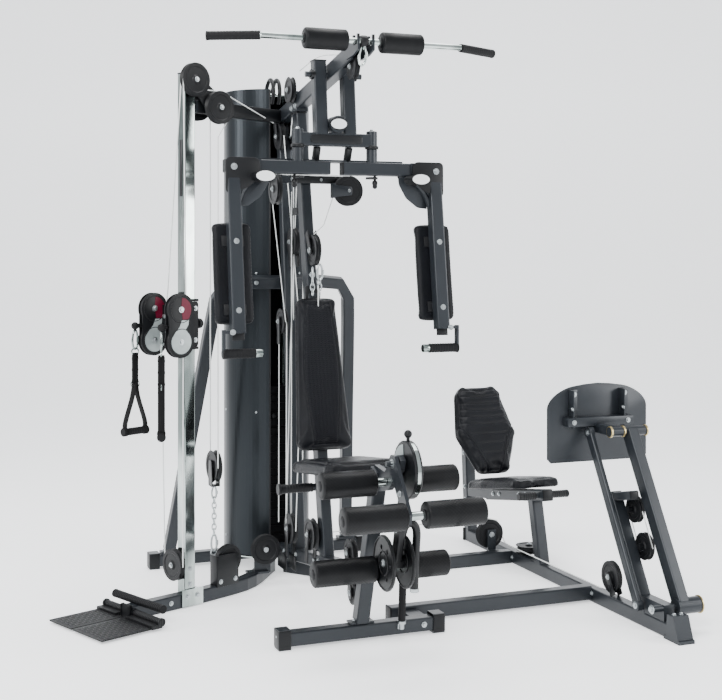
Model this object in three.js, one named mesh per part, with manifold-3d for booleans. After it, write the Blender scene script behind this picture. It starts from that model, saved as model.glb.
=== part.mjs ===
// Multi station home gym: a leaning main tower with press arms, lat bar, seat and leg
// developer, a weight stack in a round shroud, a cable column on a curved base arm with
// row foot plates, and a leg press on two link beams.
// Units are millimetres. X runs across the seats, the user faces -Y, +Z is up.
import * as THREE from 'three';
import { mergeVertices } from 'three/addons/utils/BufferGeometryUtils.js';
import Module from 'manifold-3d';

const wasm = await Module();
wasm.setup();

// ---------------------------------------------------------------- driving dimensions
const GAP = 0.4;                 // clearance kept between neighbouring pieces
const TUBE = 50;                 // side of the square frame tube
const BASE_H = 55;               // height of the floor tubes
const CORNER = 6;                // corner radius of the tubes
const FOOT_H = 70;               // height of the stabilisers' end caps
const STABILISER_HALF = 316;     // front stabiliser, half its length
const REAR_HALF = 507;           // rear stabiliser, half its length
const REAR_Y = 1310;             // rear stabiliser centreline
const SHROUD_Y = 1203;           // shroud centre
const SHROUD_R = 189;            // shroud outer radius
const SHROUD_TOP = 2095;
const SLOT_HALF = 40;            // half width of the front slot in the shroud
const BOOM_REAR = [0, 985, 1960];
const BOOM_NOSE = [0, 70, 2118];
const ARM_AXLE = [0, 320, 2062]; // axle that the press arms hang from
const PIVOT_X = 149;             // butterfly pivots
const PIVOT_Y = 300;
const ARM_Z = 1707;              // centre of the horizontal press arms
const ARM_X = 404;               // centre of the vertical press arms
const LEG_PIVOT = [0, -335, 688];
const THIGH_AXLE = [0, -238, 611];
const SHIN_AXLE = [0, -455, 536];
const ANKLE_AXLE = [0, -165, 300];
const ROLLER_R = 45;
const ROLLER_END = 248;
const COLUMN = [-485, 680];      // cable column centre on the floor
const COLUMN_TURN = 23;          // degrees, the base arm's direction at the column
const COLUMN_TOP = 2090;
const CARRIAGE_Z = 1108;
const PULLEY_R = 62;
const PULLEY_W = 22;
const PRESS_X = 1055;            // leg press centreline
const PRESS_FRONT = -420;
const PRESS_REAR = 1315;
const PRESS_PIVOT = [PRESS_X, -325, 100];
const PRESS_TOP = [PRESS_X, 12, 694];
const LINK_PIVOT_Y = -205;
const TURN = [958, 905, 122];    // pulley that turns the leg press cable

// ---------------------------------------------------------------- materials
const paint = new THREE.MeshStandardMaterial({ color: 0x3d4650, roughness: 0.45, metalness: 0.4 });
const black = new THREE.MeshStandardMaterial({ color: 0x16181b, roughness: 0.6, metalness: 0.0 });
const chrome = new THREE.MeshStandardMaterial({ color: 0xc9d2d0, roughness: 0.12, metalness: 1.0 });
const vinyl = new THREE.MeshStandardMaterial({ color: 0x14161c, roughness: 0.5, metalness: 0.0 });
const foam = new THREE.MeshStandardMaterial({ color: 0x15171b, roughness: 0.9, metalness: 0.0 });
const iron = new THREE.MeshStandardMaterial({ color: 0x101113, roughness: 0.7, metalness: 0.3 });
const silver = new THREE.MeshStandardMaterial({ color: 0xb9bfc1, roughness: 0.35, metalness: 0.8 });
const white = new THREE.MeshStandardMaterial({ color: 0xe4e7e6, roughness: 0.4, metalness: 0.0 });

// ---------------------------------------------------------------- solids
const gym = new THREE.Group();
const V = (p) => new THREE.Vector3(p[0], p[1], p[2]);
const rad = THREE.MathUtils.degToRad;

function add(name, material, geometry, parent = gym) {
  const mesh = new THREE.Mesh(geometry, material);
  mesh.name = name;
  parent.add(mesh);
  return mesh;
}

function solid(geometry) {
  const plain = geometry.clone();
  plain.deleteAttribute('normal');
  plain.deleteAttribute('uv');
  const merged = mergeVertices(plain, 1e-3);
  const index = merged.index.array;
  const kept = [];
  for (let i = 0; i < index.length; i += 3) {
    const [a, b, c] = [index[i], index[i + 1], index[i + 2]];
    if (a !== b && b !== c && c !== a) kept.push(a, b, c);
  }
  const mesh = new wasm.Mesh({
    numProp: 3,
    vertProperties: new Float32Array(merged.attributes.position.array),
    triVerts: new Uint32Array(kept),
  });
  return new wasm.Manifold(mesh);
}

function toGeometry(manifold) {
  const mesh = manifold.getMesh();
  const geometry = new THREE.BufferGeometry();
  geometry.setAttribute('position', new THREE.BufferAttribute(mesh.vertProperties, 3));
  geometry.setIndex(new THREE.BufferAttribute(mesh.triVerts, 1));
  geometry.computeVertexNormals();
  return geometry;
}

function join(...pieces) {
  const whole = pieces.map(solid).reduce((all, piece) => all.add(piece));
  return toGeometry(whole);
}

function cut(piece, ...tools) {
  const whole = tools.map(solid).reduce((all, tool) => all.subtract(tool), solid(piece));
  return toGeometry(whole);
}

// A block by its centre and size.
function block(centre, size) {
  return new THREE.BoxGeometry(...size).translate(...centre);
}

function roundedRect(width, height, radius) {
  const [w, h] = [width / 2, height / 2];
  const shape = new THREE.Shape();
  shape.moveTo(-w + radius, -h);
  shape.lineTo(w - radius, -h);
  shape.absarc(w - radius, -h + radius, radius, -Math.PI / 2, 0);
  shape.lineTo(w, h - radius);
  shape.absarc(w - radius, h - radius, radius, 0, Math.PI / 2);
  shape.lineTo(-w + radius, h);
  shape.absarc(-w + radius, h - radius, radius, Math.PI / 2, Math.PI);
  shape.lineTo(-w, -h + radius);
  shape.absarc(-w + radius, -h + radius, radius, Math.PI, Math.PI * 1.5);
  return shape;
}

// A straight bar of a flat section from one point to another. The section's first side
// stays as level as it can, along across.
function barOf(shape, from, to, across = [1, 0, 0], segments = 2) {
  const along = V(to).sub(V(from));
  const length = along.length();
  along.normalize();
  let side = V(across);
  side.addScaledVector(along, -side.dot(along)).normalize();
  const up = new THREE.Vector3().crossVectors(along, side);
  const frame = new THREE.Matrix4().makeBasis(side, up, along).setPosition(V(from));
  const geometry = new THREE.ExtrudeGeometry(shape, {
    depth: length, bevelEnabled: false, curveSegments: segments,
  });
  return geometry.applyMatrix4(frame);
}

function tube(from, to, width = TUBE, height = TUBE, across = [1, 0, 0], radius = CORNER) {
  return barOf(roundedRect(width, height, radius), from, to, across);
}

function rod(from, to, radius, sides = 14) {
  const along = V(to).sub(V(from));
  const geometry = new THREE.CylinderGeometry(radius, radius, along.length(), sides);
  const turn = new THREE.Quaternion().setFromUnitVectors(
    new THREE.Vector3(0, 1, 0), along.clone().normalize());
  const centre = V(from).addScaledVector(along, 0.5);
  return geometry.applyQuaternion(turn).translate(centre.x, centre.y, centre.z);
}

// A rectangular tube bent along a flat curve through the points.
function bentTube(points, width, height, steps) {
  const curve = new THREE.CatmullRomCurve3(points.map(V), false, 'centripetal');
  return new THREE.ExtrudeGeometry(roundedRect(height, width, CORNER), {
    extrudePath: curve, steps, bevelEnabled: false, curveSegments: 2,
  });
}

function pipe(points, radius, steps, sides = 8) {
  const curve = new THREE.CatmullRomCurve3(points.map(V), false, 'centripetal');
  const ring = new THREE.Shape();
  ring.absarc(0, 0, radius, 0, Math.PI * 2);
  return new THREE.ExtrudeGeometry(ring, {
    extrudePath: curve, steps, bevelEnabled: false, curveSegments: sides / 2,
  });
}

// A turned piece: profile points are [radius, height], and the axis is turned to point
// along axis from the centre.
function turned(profile, centre, axis, sides = 18) {
  const geometry = new THREE.LatheGeometry(profile.map((p) => new THREE.Vector2(...p)), sides);
  const turn = new THREE.Quaternion().setFromUnitVectors(
    new THREE.Vector3(0, 1, 0), V(axis).normalize());
  return geometry.applyQuaternion(turn).translate(...centre);
}

// A flat plate in the Y-Z plane by its outline, centred on x.
function platYZ(outline, x, thickness) {
  const shape = new THREE.Shape(outline.map((p) => new THREE.Vector2(...p)));
  const geometry = new THREE.ExtrudeGeometry(shape, { depth: thickness, bevelEnabled: false });
  geometry.rotateX(Math.PI / 2).rotateZ(Math.PI / 2);
  return geometry.translate(x - thickness / 2, 0, 0);
}

function cylinderProfile(radius, half, edge = 4) {
  return [[0, -half], [radius - edge, -half], [radius, -half + edge],
    [radius, half - edge], [radius - edge, half], [0, half]];
}

// A grooved pulley with a boss.
function pulley(centre, axis, radius = PULLEY_R, width = PULLEY_W) {
  const h = width / 2;
  const groove = radius - 7;
  return turned([[0, -h - 2], [13, -h - 2], [13, -h], [radius, -h], [groove, -1], [groove, 1],
    [radius, h], [13, h], [13, h + 2], [0, h + 2]], centre, axis);
}

function roller(xFrom, xTo, axle) {
  const half = Math.abs(xTo - xFrom) / 2;
  const middle = [(xFrom + xTo) / 2, axle[1], axle[2]];
  return cut(turned(cylinderProfile(ROLLER_R, half, 7), middle, [1, 0, 0]),
    rod([xFrom - 9, axle[1], axle[2]], [xTo + 9, axle[1], axle[2]], 12.5 + GAP));
}

// ---------------------------------------------------------------- base frame
function footed(from, to, across) {
  const way = V(to).sub(V(from)).normalize();
  const cap = (end, sign) => {
    const inner = V(end).addScaledVector(way, -44 * sign);
    return tube(inner.toArray(), end, 60, FOOT_H, across, 5);
  };
  return join(tube(from, to, TUBE, TUBE, across), cap(to, 1), cap(from, -1));
}
add('front_stabiliser', paint,
  footed([-STABILISER_HALF, 25, FOOT_H / 2], [STABILISER_HALF, 25, FOOT_H / 2], [0, 1, 0]));
add('rear_stabiliser', paint,
  footed([-REAR_HALF, REAR_Y, FOOT_H / 2], [REAR_HALF, REAR_Y, FOOT_H / 2], [0, 1, 0]));

const SPINE_REAR = [0, 1010, 112];
const SPINE_FRONT = [0, -8, 246];
const POST_TOP = [0, -152, 640];
const MAST_FOOT = [0, 388, 190];
const MAST_TOP = [0, 736, 1958];

function seatFrame() {
  const post = tube([0, 28.5, FOOT_H / 2 + TUBE / 2 + 9], POST_TOP);
  const spine = tube(SPINE_REAR, SPINE_FRONT);
  const rail = tube([0, 388, 525], [0, -140, 588], 44, 44);
  const head = platYZ([[-122, 556], [-250, 584], [-272, 600], [-354, 668], [-363, 700], [-342, 716],
    [-312, 712], [-222, 642], [-128, 652]], 0, 20);
  const thighAxle = rod([-ROLLER_END + 6, THIGH_AXLE[1], THIGH_AXLE[2]],
    [ROLLER_END - 6, THIGH_AXLE[1], THIGH_AXLE[2]], 12.5);
  const pivot = rod([-50, LEG_PIVOT[1], LEG_PIVOT[2]], [62, LEG_PIVOT[1], LEG_PIVOT[2]], 10);
  const grip = rod([-215, 300, 505], [215, 300, 505], 14);
  const footPlate = block([0, 32, FOOT_H / 2 + TUBE / 2 + GAP + 3.5], [90, 46, 7]);
  return join(post, spine, rail, head, thighAxle, pivot, grip, footPlate);
}
add('seat_frame', paint, seatFrame());

// The curved arm that carries the cable column, and the arm that ties in the leg press.
const turnA = rad(COLUMN_TURN);
const along = (s, n) => [COLUMN[0] + s * Math.cos(turnA) - n * Math.sin(turnA),
  COLUMN[1] + s * Math.sin(turnA) + n * Math.cos(turnA)];
const ARM_END = along(-278, 0);
const BASE_Z = BASE_H / 2;
const ROW_S = -262;              // axis the row foot plates fold about
const ROW_Z = 30;
const onColumn = (geometry) => geometry.rotateZ(turnA).translate(COLUMN[0], COLUMN[1], 0);
function columnArm() {
  const arm = bentTube([[-22, 1078, BASE_Z], [-186, 845, BASE_Z], [-330, 755, BASE_Z],
    [...along(0, 0), BASE_Z], [...ARM_END, BASE_Z]], TUBE, BASE_H, 14);
  const axle = onColumn(rod([ROW_S, -90, ROW_Z], [ROW_S, 90, ROW_Z], 7, 12));
  const heelBar = onColumn(rod([-232, -170, BASE_H + 10], [-232, 140, BASE_H + 10], 12));
  const outerBracket = onColumn(block([188, -20, 112], [106, 7, 124]));
  const outerSide = onColumn(block([138, -1, 112], [7, 44, 124]));
  const innerBracket = block([-104, 892, 104], [70, 9, 116]).translate(-8, 0, 0);
  const innerFoot = block([-134, 892, 52], [90, 50, 8]);
  return join(arm, axle, heelBar, outerBracket, outerSide, innerBracket, innerFoot);
}
add('column_arm', paint, columnArm());
function linkArm() {
  const arm = bentTube([[44, 1052, BASE_Z], [172, 905, BASE_Z], [310, 850, BASE_Z],
    [520, 848, BASE_Z], [PRESS_X - 25 - GAP, 848, BASE_Z]], TUBE, BASE_H, 12);
  const bracket = block([TURN[0], TURN[1] - 19, 94], [40, 10, 100]);
  const foot = block([TURN[0], TURN[1] - 34, 52], [40, 38, 8]);
  return join(arm, bracket, foot);
}
add('link_arm', paint, linkArm());
add('front_link_beam', paint, join(
  tube([166, 175, BASE_Z + 8], [PRESS_X - 25 - GAP, 175, BASE_Z + 8], TUBE, BASE_H, [0, 1, 0]),
  block([240, 108, 38], [60, 115, 24])));

// ---------------------------------------------------------------- tower
const UNDER_SPINE = tube([0, 1000, 38], [0, -18, 172], 90, 200);
const CROSS_Y = 612;             // cross pulleys below the mast's cross bar
const CROSS_Z = 1640;
function mast() {
  const crossBar = block([0, CROSS_Y + 40, CROSS_Z + 44], [390, 34, 30]);
  const rightPlate = block([168, CROSS_Y + 20, CROSS_Z + 20], [34, 12, 70]);
  const rightAxle = rod([168, CROSS_Y + 13 + GAP, CROSS_Z], [168, CROSS_Y + 22, CROSS_Z], 9);
  const leftPlate = block([-132, CROSS_Y - 4, CROSS_Z + 20], [8, 96, 74]);
  return cut(join(tube(MAST_FOOT, MAST_TOP, 42, 65), crossBar, rightPlate, rightAxle, leftPlate),
    UNDER_SPINE);
}
add('mast', paint, mast());
const UPRIGHT_FOOT = [0, 745, 130];
const UPRIGHT_TOP = [0, 956, 1924];
add('rear_upright', paint, cut(tube(UPRIGHT_FOOT, UPRIGHT_TOP), UNDER_SPINE));

const LAT_BAR_Z = 2140.6;
const LAT_SWEEP = rad(25);       // the grips sweep back from the straight bar
function boom() {
  const beam = tube(BOOM_REAR, BOOM_NOSE, TUBE, 62);
  const slotted = cut(beam, block([0, 108, 2072], [30, 130, 96]), block([0, 738, 2080], [30, 120, 140]));
  const mastCap = block([0, 738, 1987], [48, 88, 42]);
  const axle = rod([-112, ARM_AXLE[1], ARM_AXLE[2]], [112, ARM_AXLE[1], ARM_AXLE[2]], 11);
  const hook = (x) => platYZ([[95, 2088], [95, 2136], [40, 2142], [25, 2164], [16, 2164], [16, 2127],
    [-16, 2127], [-16, 2164], [-26, 2164], [-28, 2108], [20, 2094]], x, 8);
  const tie = tube([-8, 944, 1966], [COLUMN[0] + 26, COLUMN[1] + 14, 1966], 44, 50);
  return join(slotted, mastCap, axle, hook(-28.5), hook(28.5), tie);
}
add('boom', paint, boom());

// The bent frame behind the seat back: one tube from foot to foot over a level bar.
const ARCH_X = 287;
const ARCH_Z = 1264;
const ARCH_Y = 935;
function archFrame() {
  const foot = (sign) => block([sign * 415, REAR_Y, 67], [80, 46, 12]);
  const stub = (sign) => block([sign * 415, REAR_Y, 76], [44, 40, 22]);
  const slope = (x, z) => [x, REAR_Y - (REAR_Y - ARCH_Y) * (z - 79) / (ARCH_Z - 79), z];
  const side = (sign) => [slope(sign * 415, 79), slope(sign * 352, 660), slope(sign * 300, 1150),
    slope(sign * 290, 1210), slope(sign * 268, 1248), slope(sign * 225, ARCH_Z), slope(sign * 120, ARCH_Z)];
  const whole = bentTube([...side(-1), slope(0, ARCH_Z), ...side(1).reverse()], 45, 50, 36);
  return join(whole, foot(-1), foot(1), stub(-1), stub(1));
}
add('arch_frame', paint, archFrame());

// ---------------------------------------------------------------- weight stack and shroud
const ROD_X = 78;
const HEAD_Z = 622;
function stackFrame() {
  const base = turned(cylinderProfile(184, 5), [0, SHROUD_Y, 74.2], [0, 0, 1], 28);
  const post = (x) => rod([x, SHROUD_Y, 72], [x, SHROUD_Y, 2068], 11, 12);
  const top = turned(cylinderProfile(184, 6), [0, SHROUD_Y, 2070], [0, 0, 1], 28);
  return join(base, post(-ROD_X), post(ROD_X), top);
}
add('guide_rods', chrome, stackFrame());

function plates(bottom, count, pitch) {
  const plate = (i) => block([0, SHROUD_Y, bottom + pitch * i + pitch / 2 - 2], [236, 128, pitch - 4]);
  const core = block([0, SHROUD_Y, bottom + pitch * count / 2 - 2], [228, 120, pitch * count - 4]);
  const stack = join(core, ...Array.from({ length: count }, (_, i) => plate(i)));
  const high = bottom + pitch * count;
  const hole = (x) => rod([x, SHROUD_Y, bottom - 9], [x, SHROUD_Y, high + 9], 13.5, 12);
  return cut(stack, hole(-ROD_X), hole(ROD_X));
}
add('weight_stack', iron, plates(80, 15, 36));
function weightHead() {
  const stem = rod([0, SHROUD_Y, HEAD_Z + 60], [0, SHROUD_Y, HEAD_Z + 290], 12);
  return join(plates(HEAD_Z, 5, 36), stem);
}
add('weight_head', iron, weightHead());
add('selector_pin', silver, join(
  rod([0, SHROUD_Y - 64 - GAP, HEAD_Z + 53], [0, SHROUD_Y - 92, HEAD_Z + 53], 5, 12),
  rod([0, SHROUD_Y - 92, HEAD_Z + 53], [0, SHROUD_Y - 112, HEAD_Z + 53], 13, 16)));

function shell() {
  const start = -Math.PI / 2 + Math.asin(SLOT_HALF / SHROUD_R);
  const end = Math.PI / 2 - Math.asin(1 / SHROUD_R);
  const shape = new THREE.Shape();
  shape.absarc(0, 0, SHROUD_R, start, end);
  shape.absarc(0, 0, SHROUD_R - 3, end, start, true);
  const geometry = new THREE.ExtrudeGeometry(shape, {
    depth: SHROUD_TOP - 82, bevelEnabled: false, curveSegments: 18,
  });
  return geometry.translate(0, SHROUD_Y, 82);
}
add('shroud_right', paint, shell());
add('shroud_left', paint, toGeometry(solid(shell()).mirror([1, 0, 0])));

// ---------------------------------------------------------------- press arms
function pressHanger() {
  const post = (x) => cut(tube([x, 303, 1832], [x, 331, 2116], TUBE, 46),
    rod([x - 40, ARM_AXLE[1], ARM_AXLE[2]], [x + 40, ARM_AXLE[1], ARM_AXLE[2]], 11.6));
  const beam = tube([-PIVOT_X, 303, 1815], [PIVOT_X, 303, 1815], 42, 50, [0, 1, 0], 5);
  const barrel = (x) => turned(cylinderProfile(21, 34, 2), [x, PIVOT_Y, 1818], [0, 0, 1], 16);
  const badge = turned(cylinderProfile(32, 34, 3), [0, 292, 1872], [0, 1, 0], 20);
  const neck = block([0, 300, 1850], [40, 36, 40]);
  const stay = (x) => rod([x, 345, 1738], [x, 318, 1800], 8, 12);
  const outline = [[-290, 330], [-150, 330], [150, 330], [290, 330], [262, 372], [120, 428],
    [-120, 428], [-262, 372]];
  const sector = new THREE.ExtrudeGeometry(new THREE.Shape(outline.map((p) => new THREE.Vector2(...p))),
    { depth: 6, bevelEnabled: false }).translate(0, 0, 1736);
  return join(post(-57), post(57), beam, barrel(-PIVOT_X), barrel(PIVOT_X), badge, neck,
    stay(-64), stay(64), sector);
}
add('press_hanger', paint, pressHanger());

const ARM_FOOT = [212, 1096];
function butterflyArm(sign) {
  const x = (value) => sign * value;
  const upper = tube([x(28), PIVOT_Y, ARM_Z], [x(ARM_X + 26), PIVOT_Y, ARM_Z], TUBE, TUBE, [0, 1, 0]);
  const lower = tube([x(ARM_X), PIVOT_Y - 1, ARM_Z + 22], [x(ARM_X), ...ARM_FOOT]);
  const barrel = turned(cylinderProfile(21, 27, 2), [x(PIVOT_X), PIVOT_Y, 1756], [0, 0, 1], 16);
  const brace = pipe([[x(262), PIVOT_Y, ARM_Z - 20], [x(322), PIVOT_Y - 2, ARM_Z - 42],
    [x(364), PIVOT_Y - 6, ARM_Z - 84], [x(392), PIVOT_Y - 14, ARM_Z - 150]], 13, 6, 8);
  const cover = new THREE.Shape([[430, 1733], [300, 1733], [300, 1700], [378, 1606], [430, 1606]]
    .map(([px, pz]) => new THREE.Vector2(px, pz)));
  const plate = new THREE.ExtrudeGeometry(cover, { depth: 6, bevelEnabled: false })
    .rotateX(Math.PI / 2).translate(0, PIVOT_Y - 24, 0);
  const side = sign > 0 ? plate : toGeometry(solid(plate).mirror([1, 0, 0]));
  const drop = block([x(430), 201, 1102], [68, 26, 10]);
  const elbow = tube([x(461), 199, 1110], [x(461), 199, 1012], 10, 24, [1, 0, 0], 2);
  const grip = turned(cylinderProfile(15, 72, 3), [x(392), 199, 1024], [1, 0, 0]);
  return join(upper, lower, barrel, brace, side, drop, elbow, grip);
}
add('left_press_arm', paint, butterflyArm(-1));
add('right_press_arm', paint, butterflyArm(1));

function forearmPad(sign) {
  return tube([sign * ARM_X, 268, 1122], [sign * ARM_X, 322, 1498], 152, 46, [1, 0, 0], 20);
}
add('left_forearm_pad', vinyl, forearmPad(-1));
add('right_forearm_pad', vinyl, forearmPad(1));

function pullPin(centre, axis) {
  return turned([[0, 0], [5, 0], [5, 18], [10, 21], [11, 40], [8, 48], [0, 50]], centre, axis, 16);
}
add('left_arm_pin', black, pullPin([-162, PIVOT_Y, ARM_Z - 25 - GAP], [0, 0, -1]));
add('right_arm_pin', black, pullPin([162, PIVOT_Y, ARM_Z - 25 - GAP], [0, 0, -1]));

// ---------------------------------------------------------------- lat bar
function latBar() {
  const straight = rod([-382, 0, LAT_BAR_Z], [382, 0, LAT_BAR_Z], 11);
  const way = (sign, length) => [sign * (376 + length * Math.cos(LAT_SWEEP)),
    length * Math.sin(LAT_SWEEP), LAT_BAR_Z];
  const end = (sign) => rod(way(sign, 0), way(sign, 190), 11);
  const grip = (sign) => rod(way(sign, 12), way(sign, 196), 14.5);
  const lug = block([0, 0, LAT_BAR_Z - 17], [8, 24, 26]);
  return join(straight, end(1), end(-1), grip(1), grip(-1), lug);
}
add('lat_bar', chrome, latBar());
function latFoam(sign) {
  const middle = [sign * 145, 0, LAT_BAR_Z];
  return cut(turned(cylinderProfile(38, 80, 8), middle, [1, 0, 0]),
    rod([sign * 145 - 90, 0, LAT_BAR_Z], [sign * 145 + 90, 0, LAT_BAR_Z], 11 + GAP));
}
add('lat_foam_left', foam, latFoam(-1));
add('lat_foam_right', foam, latFoam(1));

// ---------------------------------------------------------------- seat, back and leg developer
add('main_seat', vinyl, block([0, 165, 0], [320, 420, 48])
  .rotateX(-rad(6.8)).translate(0, 0, 621));
function seatBack() {
  const [low, high] = [118, 86];
  const length = 602;
  const outline = new THREE.Shape();
  outline.moveTo(-low + 24, 0);
  outline.absarc(low - 20, 20, 20, -Math.PI / 2, 0);
  outline.absarc(high - 20, length - 20, 20, 0, Math.PI / 2);
  outline.absarc(-high + 20, length - 20, 20, Math.PI / 2, Math.PI);
  outline.absarc(-low + 20, 20, 20, Math.PI, Math.PI * 1.5);
  const pad = new THREE.ExtrudeGeometry(outline, { depth: 50, bevelEnabled: false, curveSegments: 3 });
  return pad.translate(0, 0, -25).rotateX(Math.PI / 2 - Math.atan2(118, 590)).translate(0, 410, 622);
}
add('seat_back', vinyl, seatBack());

const CAM_R = 97;
const CAM_Z = 665;
function legLever() {
  const cam = turned(cylinderProfile(CAM_R, 14, 3), [29, LEG_PIVOT[1], CAM_Z], [1, 0, 0], 24);
  const arm = tube([29, LEG_PIVOT[1], LEG_PIVOT[2]], [29, -232, 335], 26, 44);
  const disc = (x, r) => turned(cylinderProfile(r, 4, 1), [x, -235, 335], [1, 0, 0], 24);
  const hub = rod([-14, -235, 335], [62, -235, 335], 22);
  const axle = rod([-ROLLER_END + 6, ANKLE_AXLE[1], ANKLE_AXLE[2]],
    [ROLLER_END - 6, ANKLE_AXLE[1], ANKLE_AXLE[2]], 12.5);
  const slot = (angle) => rod([-30, -235 + 55 * Math.cos(angle), 335 + 55 * Math.sin(angle)],
    [0, -235 + 55 * Math.cos(angle), 335 + 55 * Math.sin(angle)], 9, 12);
  const whole = join(cam, arm, disc(-14, 95), disc(58, 92), hub, axle);
  return cut(whole, rod([0, LEG_PIVOT[1], LEG_PIVOT[2]], [70, LEG_PIVOT[1], LEG_PIVOT[2]], 10.6),
    slot(1.2), slot(2.2), slot(3.2), slot(4.2));
}
add('leg_lever', paint, legLever());
add('ankle_roller_left', foam, roller(-ROLLER_END, -22, ANKLE_AXLE));
add('ankle_roller_right', foam, roller(66, ROLLER_END, ANKLE_AXLE));
add('thigh_roller_left', foam, roller(-ROLLER_END, -52, THIGH_AXLE));
add('thigh_roller_right', foam, roller(52, ROLLER_END, THIGH_AXLE));

function shinArm() {
  const side = platYZ([[-320, 716], [-355, 716], [-372, 690], [-478, 545], [-470, 512], [-438, 514],
    [-312, 664], [-306, 700]], -22, 12);
  const axle = rod([-ROLLER_END + 6, SHIN_AXLE[1], SHIN_AXLE[2]],
    [ROLLER_END - 6, SHIN_AXLE[1], SHIN_AXLE[2]], 12.5);
  return cut(join(side, axle), rod([-40, LEG_PIVOT[1], LEG_PIVOT[2]], [0, LEG_PIVOT[1], LEG_PIVOT[2]], 10.6));
}
add('shin_arm', paint, shinArm());
add('shin_roller_left', foam, roller(-ROLLER_END, -32, SHIN_AXLE));
add('shin_roller_right', foam, roller(36, ROLLER_END, SHIN_AXLE));
add('cam_pin', black, join(rod([29, LEG_PIVOT[1], CAM_Z + CAM_R + GAP],
  [29, LEG_PIVOT[1], CAM_Z + CAM_R + 14], 6, 12),
  new THREE.SphereGeometry(14, 12, 8).translate(29, LEG_PIVOT[1], CAM_Z + CAM_R + 22)));

// ---------------------------------------------------------------- cable column
const columnGroup = new THREE.Group();
columnGroup.position.set(COLUMN[0], COLUMN[1], 0);
columnGroup.rotation.z = turnA;
gym.add(columnGroup);

const TOP_PULLEY_S = 10;
add('cable_column', chrome, join(
  cut(tube([0, 0, BASE_H + GAP], [0, 0, COLUMN_TOP], TUBE, TUBE, [1, 0, 0], 4),
    block([-25, 0, 1720], [6, 16, 220])),
  block([8, -30, 38], [100, 4, 66]),
  block([8, -15, 69], [60, 32, 4]),
  rod([TOP_PULLEY_S, -31 + GAP, 2066], [TOP_PULLEY_S, -18, 2066], 10)), columnGroup);
const collar = cut(tube([0, 0, CARRIAGE_Z - 88], [0, 0, CARRIAGE_Z + 88], 66, 66, [1, 0, 0], 4),
  block([0, 0, CARRIAGE_Z], [TUBE + 2 * GAP, TUBE + 2 * GAP, 200]));
add('carriage', black, join(collar, block([-46, -48, CARRIAGE_Z], [34, 48, 150]),
  block([-46, 48, CARRIAGE_Z], [34, 48, 150])), columnGroup);
add('carriage_pin', black, turned([[0, 0], [6, 0], [6, 16], [18, 22], [20, 34], [10, 44], [0, 45]],
  [33 + GAP, 0, CARRIAGE_Z], [1, 0, 0], 20), columnGroup);

const STOP_S = -180;              // cable ball stops
function pulleyBlock(n) {
  const wheel = (z) => turned(cylinderProfile(62, 15, 5), [-98, n, CARRIAGE_Z + z], [0, 1, 0], 20);
  const link = block([-98, n, CARRIAGE_Z], [84, 30, 80]);
  const stop = new THREE.SphereGeometry(15, 12, 8).translate(STOP_S, n, CARRIAGE_Z - 4);
  const stem = rod([STOP_S + 10, n, CARRIAGE_Z - 4], [-120, n, CARRIAGE_Z - 4], 6, 12);
  return join(wheel(62), wheel(-62), link, stop, stem);
}
add('pulley_block_front', black, pulleyBlock(-88), columnGroup);
add('pulley_block_rear', black, pulleyBlock(88), columnGroup);

function strapHandle(n, gripAxis) {
  const top = CARRIAGE_Z - 20;
  const hook = rod([STOP_S, n, top], [STOP_S, n, top - 96], 9, 12);
  const sleeve = block([STOP_S, n, top - 150], [26, 12, 112]);
  const gripZ = top - 392;
  const reach = 52;
  const tip = (k) => [STOP_S + k * reach * gripAxis[0], n + k * reach * gripAxis[1], gripZ];
  const strap = (k) => barOf(roundedRect(22, 4, 1), [STOP_S, n, top - 200], tip(k),
    [-gripAxis[1], gripAxis[0], 0], 1);
  const grip = rod(tip(-1.15), tip(1.15), 15, 16);
  return join(hook, sleeve, strap(-1), strap(1), grip);
}
add('strap_handle_front', black, strapHandle(-88, [0.57, 0.82]), columnGroup);
add('strap_handle_rear', black, strapHandle(88, [1, 0.1]), columnGroup);

// Row foot plates, each on a sleeve over the axle at the end of the base arm.
function rowPlate(sign, reach, width) {
  const from = sign * (TUBE / 2 + 1);
  const sleeve = rod([ROW_S, from, ROW_Z], [ROW_S, sign * reach, ROW_Z], 13, 16);
  const middle = sign * (4 + width / 2);
  const plate = block([ROW_S - 140, middle, 12], [220, width, 6]);
  const tabMiddle = sign * (TUBE / 2 + 6 + reach) / 2;
  const tab = block([ROW_S - 20, tabMiddle, 17], [44, reach - TUBE / 2 - 12, 14]);
  const bore = rod([ROW_S, 0, ROW_Z], [ROW_S, sign * 93, ROW_Z], 7 + GAP, 12);
  return cut(join(sleeve, plate, tab), bore);
}
add('row_plate_left', black, rowPlate(1, 168, 156), columnGroup);
add('row_plate_right', black, rowPlate(-1, 212, 196), columnGroup);

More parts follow.
